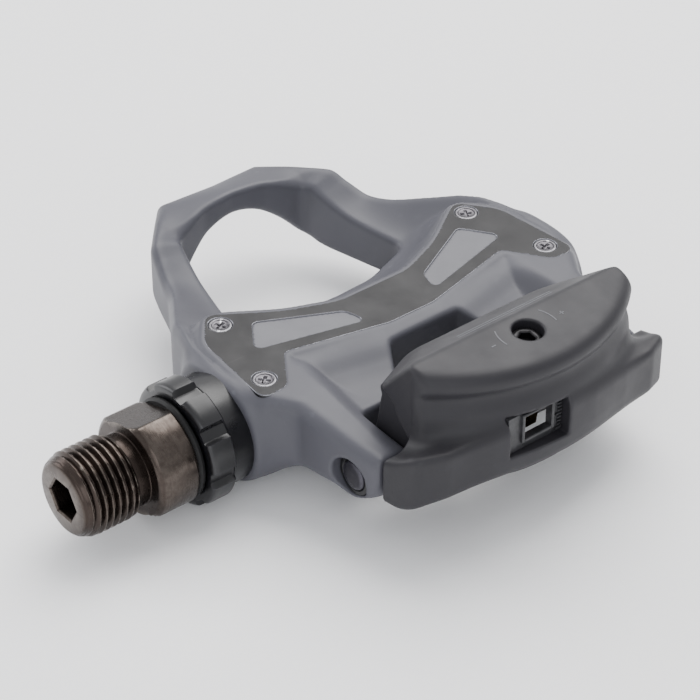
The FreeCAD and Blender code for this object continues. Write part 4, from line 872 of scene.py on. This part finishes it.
# ============================================================ claw springs
for s, tag in ((1, "inboard"), (-1, "outboard")):
    R0, w, pitch, turns, leg = 3.65, 0.85, 1.8, 4.0, 14.15
    t0, t1 = math.radians(290.0), math.radians(225.0 - 360.0 * turns)
    pts = []
    n = int(turns * 40)
    for i in range(n + 1):
        f = i / n
        t = t0 + f * (t1 - t0)
        yy = leg - f * (t0 - t1) / (2 * math.pi) * pitch
        pts.append((PX + R0 * math.cos(t), MID + s * yy, PZ + R0 * math.sin(t)))
    run = np.array([math.sin(t0), 0, -math.cos(t0)])
    tang = np.array([math.sin(t1), 0, -math.cos(t1)])
    p0, p1 = np.array(pts[0]), np.array(pts[-1])
    path = [p0 - run * d for d in (7.9, 7.0, 5.5, 4.0, 2.5, 1.2, 0.5)] + pts + [p1 + tang * d for d in (0.5, 1.2, 3, 5, 7, 9, 11, 11.9)]
    sp = tube("claw_spring_" + tag, path, w, M["spring"])
    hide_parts("spring_" + tag)
    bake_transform(sp)

# ============================================================ adjusting bolt
ct, stl = math.cos(TILT), math.sin(TILT)


def on_bolt(V):
    """from the bolt's own frame (surface at height 0) to the row frame, mm"""
    V = np.asarray(V, float)
    x, y, z = V[:, 0], V[:, 1], V[:, 2]
    return np.stack([BX + x * ct - z * stl, BY + MID + y, BZ + x * stl + z * ct], 1)


hx = hex_r(2.5)
rings = [(-2.6, lambda t: hx(t) * 0.5), (-2.5, hx), (-1.42, hx), (-1.3, lambda t: hx(t) * 1.12), (-1.22, 1.75), (-1.2, 1.95),
         (-1.28, 2.25), (-1.5, 2.41), (-3.1, 2.41), (-3.2, 2.3), (-3.2, 2.0)]
z = -3.2
k = 0
while z > -19.0:
    z -= 0.2
    k += 1
    rings.append((z, 1.99 if k % 4 == 2 else (1.62 if k % 4 == 0 else 1.8)))
rings += [(-19.4, 1.6), (-19.7, 1.3)]
V, F = lathe_z(rings, 72, 0.0, 0.0)
bo = obj_from("adjusting_bolt_turned", on_bolt(V), F, True, M["black"])
sharp(bo, 32)
put(bo, "bolt", "screw_steel", "adjust_bolt")

# ============================================================ tension gauge in the rear window
def bar_box(x0, x1, y0, y1, z0, z1, b=0.08):
    """a bar with bevelled front edges (front faces -X); returns verts, faces"""
    V, F = [], []
    for x, e in ((x0, b), (x0 + b, 0.0), (x1, 0.0)):
        V += [(x, y0 + e, z0 + e), (x, y1 - e, z0 + e), (x, y1 - e, z1 - e), (x, y0 + e, z1 - e)]
    F += [(0, 3, 2, 1), (8, 9, 10, 11)]
    for r in range(2):
        for j in range(4):
            a, c = r * 4 + j, r * 4 + (j + 1) % 4
            F.append((a, c, c + 4, a + 4))
    return np.array(V, float), F


XB = -40.15
parts = []
fx = -41.05
# floor strips of the bezel, round the opening that shows the pointer
o0, o1, q0, q1 = 2.2, 7.7, 8.4, 12.6
for (ya, yb, za, zb) in ((W0, o0, W2, W3), (o1, W1, W2, W3), (o0, o1, W2, q0), (o0, o1, q1, W3)):
    parts.append(bar_box(fx, XB, ya + 0.02, yb - 0.02, za + 0.02, zb - 0.02, 0.05))
# raised square frame round the opening
for (ya, yb, za, zb) in ((o0 - 0.55, o0, q0 - 0.55, q1 + 0.45), (o1, o1 + 0.55, q0 - 0.55, q1 + 0.45),
                         (o0, o1, q0 - 0.55, q0), (o0, o1, q1, q1 + 0.45)):
    parts.append(bar_box(-41.6, fx + 0.01, ya, yb, za, zb, 0.12))
# scale ticks on the outboard side
for k in range(9):
    z0 = W2 + 0.65 + k * 0.66
    parts.append(bar_box(-41.4, fx + 0.01, W0 + 0.25, W0 + (1.45 if k % 4 == 0 else 1.0), z0, z0 + 0.26, 0.06))
bz = add_mesh([(v + np.array([0, MID, 0]), f) for v, f in parts], "tension_gauge_bezel", M["bezel"])
bz.data.polygons.foreach_set("use_smooth", [False] * len(bz.data.polygons))
put(bz, "claw", "bezel_plastic", "gauge_bezel")

# ============================================================ plain marks on the claw's top
def claw_top(x, y):
    """height of the claw's upper surface, by bisection"""
    lo_, hi_ = 12.0, 24.0
    for _ in range(30):
        m_ = (lo_ + hi_) / 2
        if float(claw_F(np.array([x]), np.array([y]), np.array([m_]))[0]) < 0:
            lo_ = m_
        else:
            hi_ = m_
    return (lo_ + hi_) / 2


def ribbon(name, pts, width, mat, lift=0.035, h=0.10):
    """a thin raised mark that follows the claw's surface; pts are plan points, mm"""
    P_ = np.asarray(pts, float)
    T_ = np.gradient(P_, axis=0)
    T_ /= np.linalg.norm(T_, axis=1)[:, None]
    Nn = np.stack([-T_[:, 1], T_[:, 0]], 1)
    V = []
    for p_, n_ in zip(P_, Nn):
        for e, dz in ((-0.5, -h), (-0.42, lift), (0.42, lift), (0.5, -h)):
            q_ = p_ + n_ * width * e
            V.append((q_[0], q_[1] + MID, claw_top(q_[0], q_[1]) + dz))
    m_ = len(P_)
    F = []
    for i in range(m_ - 1):
        for j in range(3):
            a = i * 4 + j
            F.append((a, a + 4, a + 5, a + 1))
        F.append((i * 4 + 3, i * 4 + 7, i * 4 + 4, i * 4))
    F += [(0, 1, 2, 3), tuple(reversed([(m_ - 1) * 4 + j for j in range(4)]))]
    ob = obj_from(name, V, F, False, mat)
    return put(ob, "claw", "claw_resin")


def arc(cx, cy, r, a0, a1, n=14):
    return [(cx + r * math.cos(math.radians(a0 + (a1 - a0) * k / n)), cy + r * math.sin(math.radians(a0 + (a1 - a0) * k / n)))
            for k in range(n + 1)]


ribbon("mark_turn_a", arc(BX, BY, 5.2, 60, 100), 0.22, M["mark"])
ribbon("mark_turn_b", arc(BX, BY, 5.2, -100, -60), 0.22, M["mark"])
ribbon("mark_more", [(BX, BY + 6.6 + 0.12 * k) for k in range(8)], 0.22, M["mark"])
ribbon("mark_less", [(BX, BY - 6.6 - 0.12 * k) for k in range(8)], 0.22, M["mark"])
ribbon("mark_less_cross", [(BX - 0.42 + 0.12 * k, BY - 7.02) for k in range(8)], 0.22, M["mark"])
for k, (x0, ya, yb) in enumerate(((-27.1, -10.2, 9.4), (-28.2, -9.6, 10.0))):
    ribbon("trim_line_%d" % (k + 1), [(x0, ya + (yb - ya) * i / 24) for i in range(25)], 0.5, M["mark"])

# ============================================================ floor, lights, camera
low = min(CAD_BOX[0][2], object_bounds()[0][2])
fl = bpy.data.meshes.new("floor")
s = 1.6
fl.from_pydata([(-s, -s, low), (s, -s, low), (s, s, low), (-s, s, low)], [], [(0, 1, 2, 3)])
fo = bpy.data.objects.new("floor", fl)
bpy.context.scene.collection.objects.link(fo)
fl.materials.append(M["floor"])

world = bpy.data.worlds.new("studio")
bpy.context.scene.world = world
world.use_nodes = True
bg = world.node_tree.nodes["Background"]
bg.inputs[0].default_value = (0.97, 0.98, 1.0, 1.0)
bg.inputs[1].default_value = 1.0

TARGET = Vector((0.0035, -0.0415, 0.0035))


def area(name, loc, size, power, color=(1, 1, 1), size_y=None):
    li = bpy.data.lights.new(name, "AREA")
    li.energy = power
    li.color = color
    li.shape = "RECTANGLE"
    li.size = size
    li.size_y = size_y or size
    o = bpy.data.objects.new(name, li)
    bpy.context.scene.collection.objects.link(o)
    o.location = loc
    o.rotation_euler = (TARGET - Vector(loc)).to_track_quat("-Z", "Y").to_euler()
    return o


area("key", (0.25, -0.45, 0.75), 0.8, 12.0, (1.0, 0.99, 0.98))
area("fill", (-0.65, 0.55, 0.45), 0.7, 3.0, (0.95, 0.97, 1.0))
area("rim", (0.75, 0.25, 0.35), 0.5, 2.5, (0.98, 0.98, 1.0))

cam = bpy.data.cameras.new("camera")
cam.sensor_width = 36.0
cam.lens = 133.0
cam.clip_start = 0.01
cam.clip_end = 20.0
co = bpy.data.objects.new("camera", cam)
bpy.context.scene.collection.objects.link(co)
co.location = (-0.2669, 0.1738, 0.2506)
fwd = Vector((0.6147, -0.5297, -0.5844)).normalized()
right = fwd.cross(Vector((0, 0, 1))).normalized()
up = right.cross(fwd)
aim = (fwd + right * ((501.0 - 535.0) / 1660.0) - up * ((484.5 - 485.0) / 1660.0)).normalized()
q = aim.to_track_quat("-Z", "Y")
co.rotation_mode = "QUATERNION"
co.rotation_quaternion = q
bpy.context.scene.camera = co
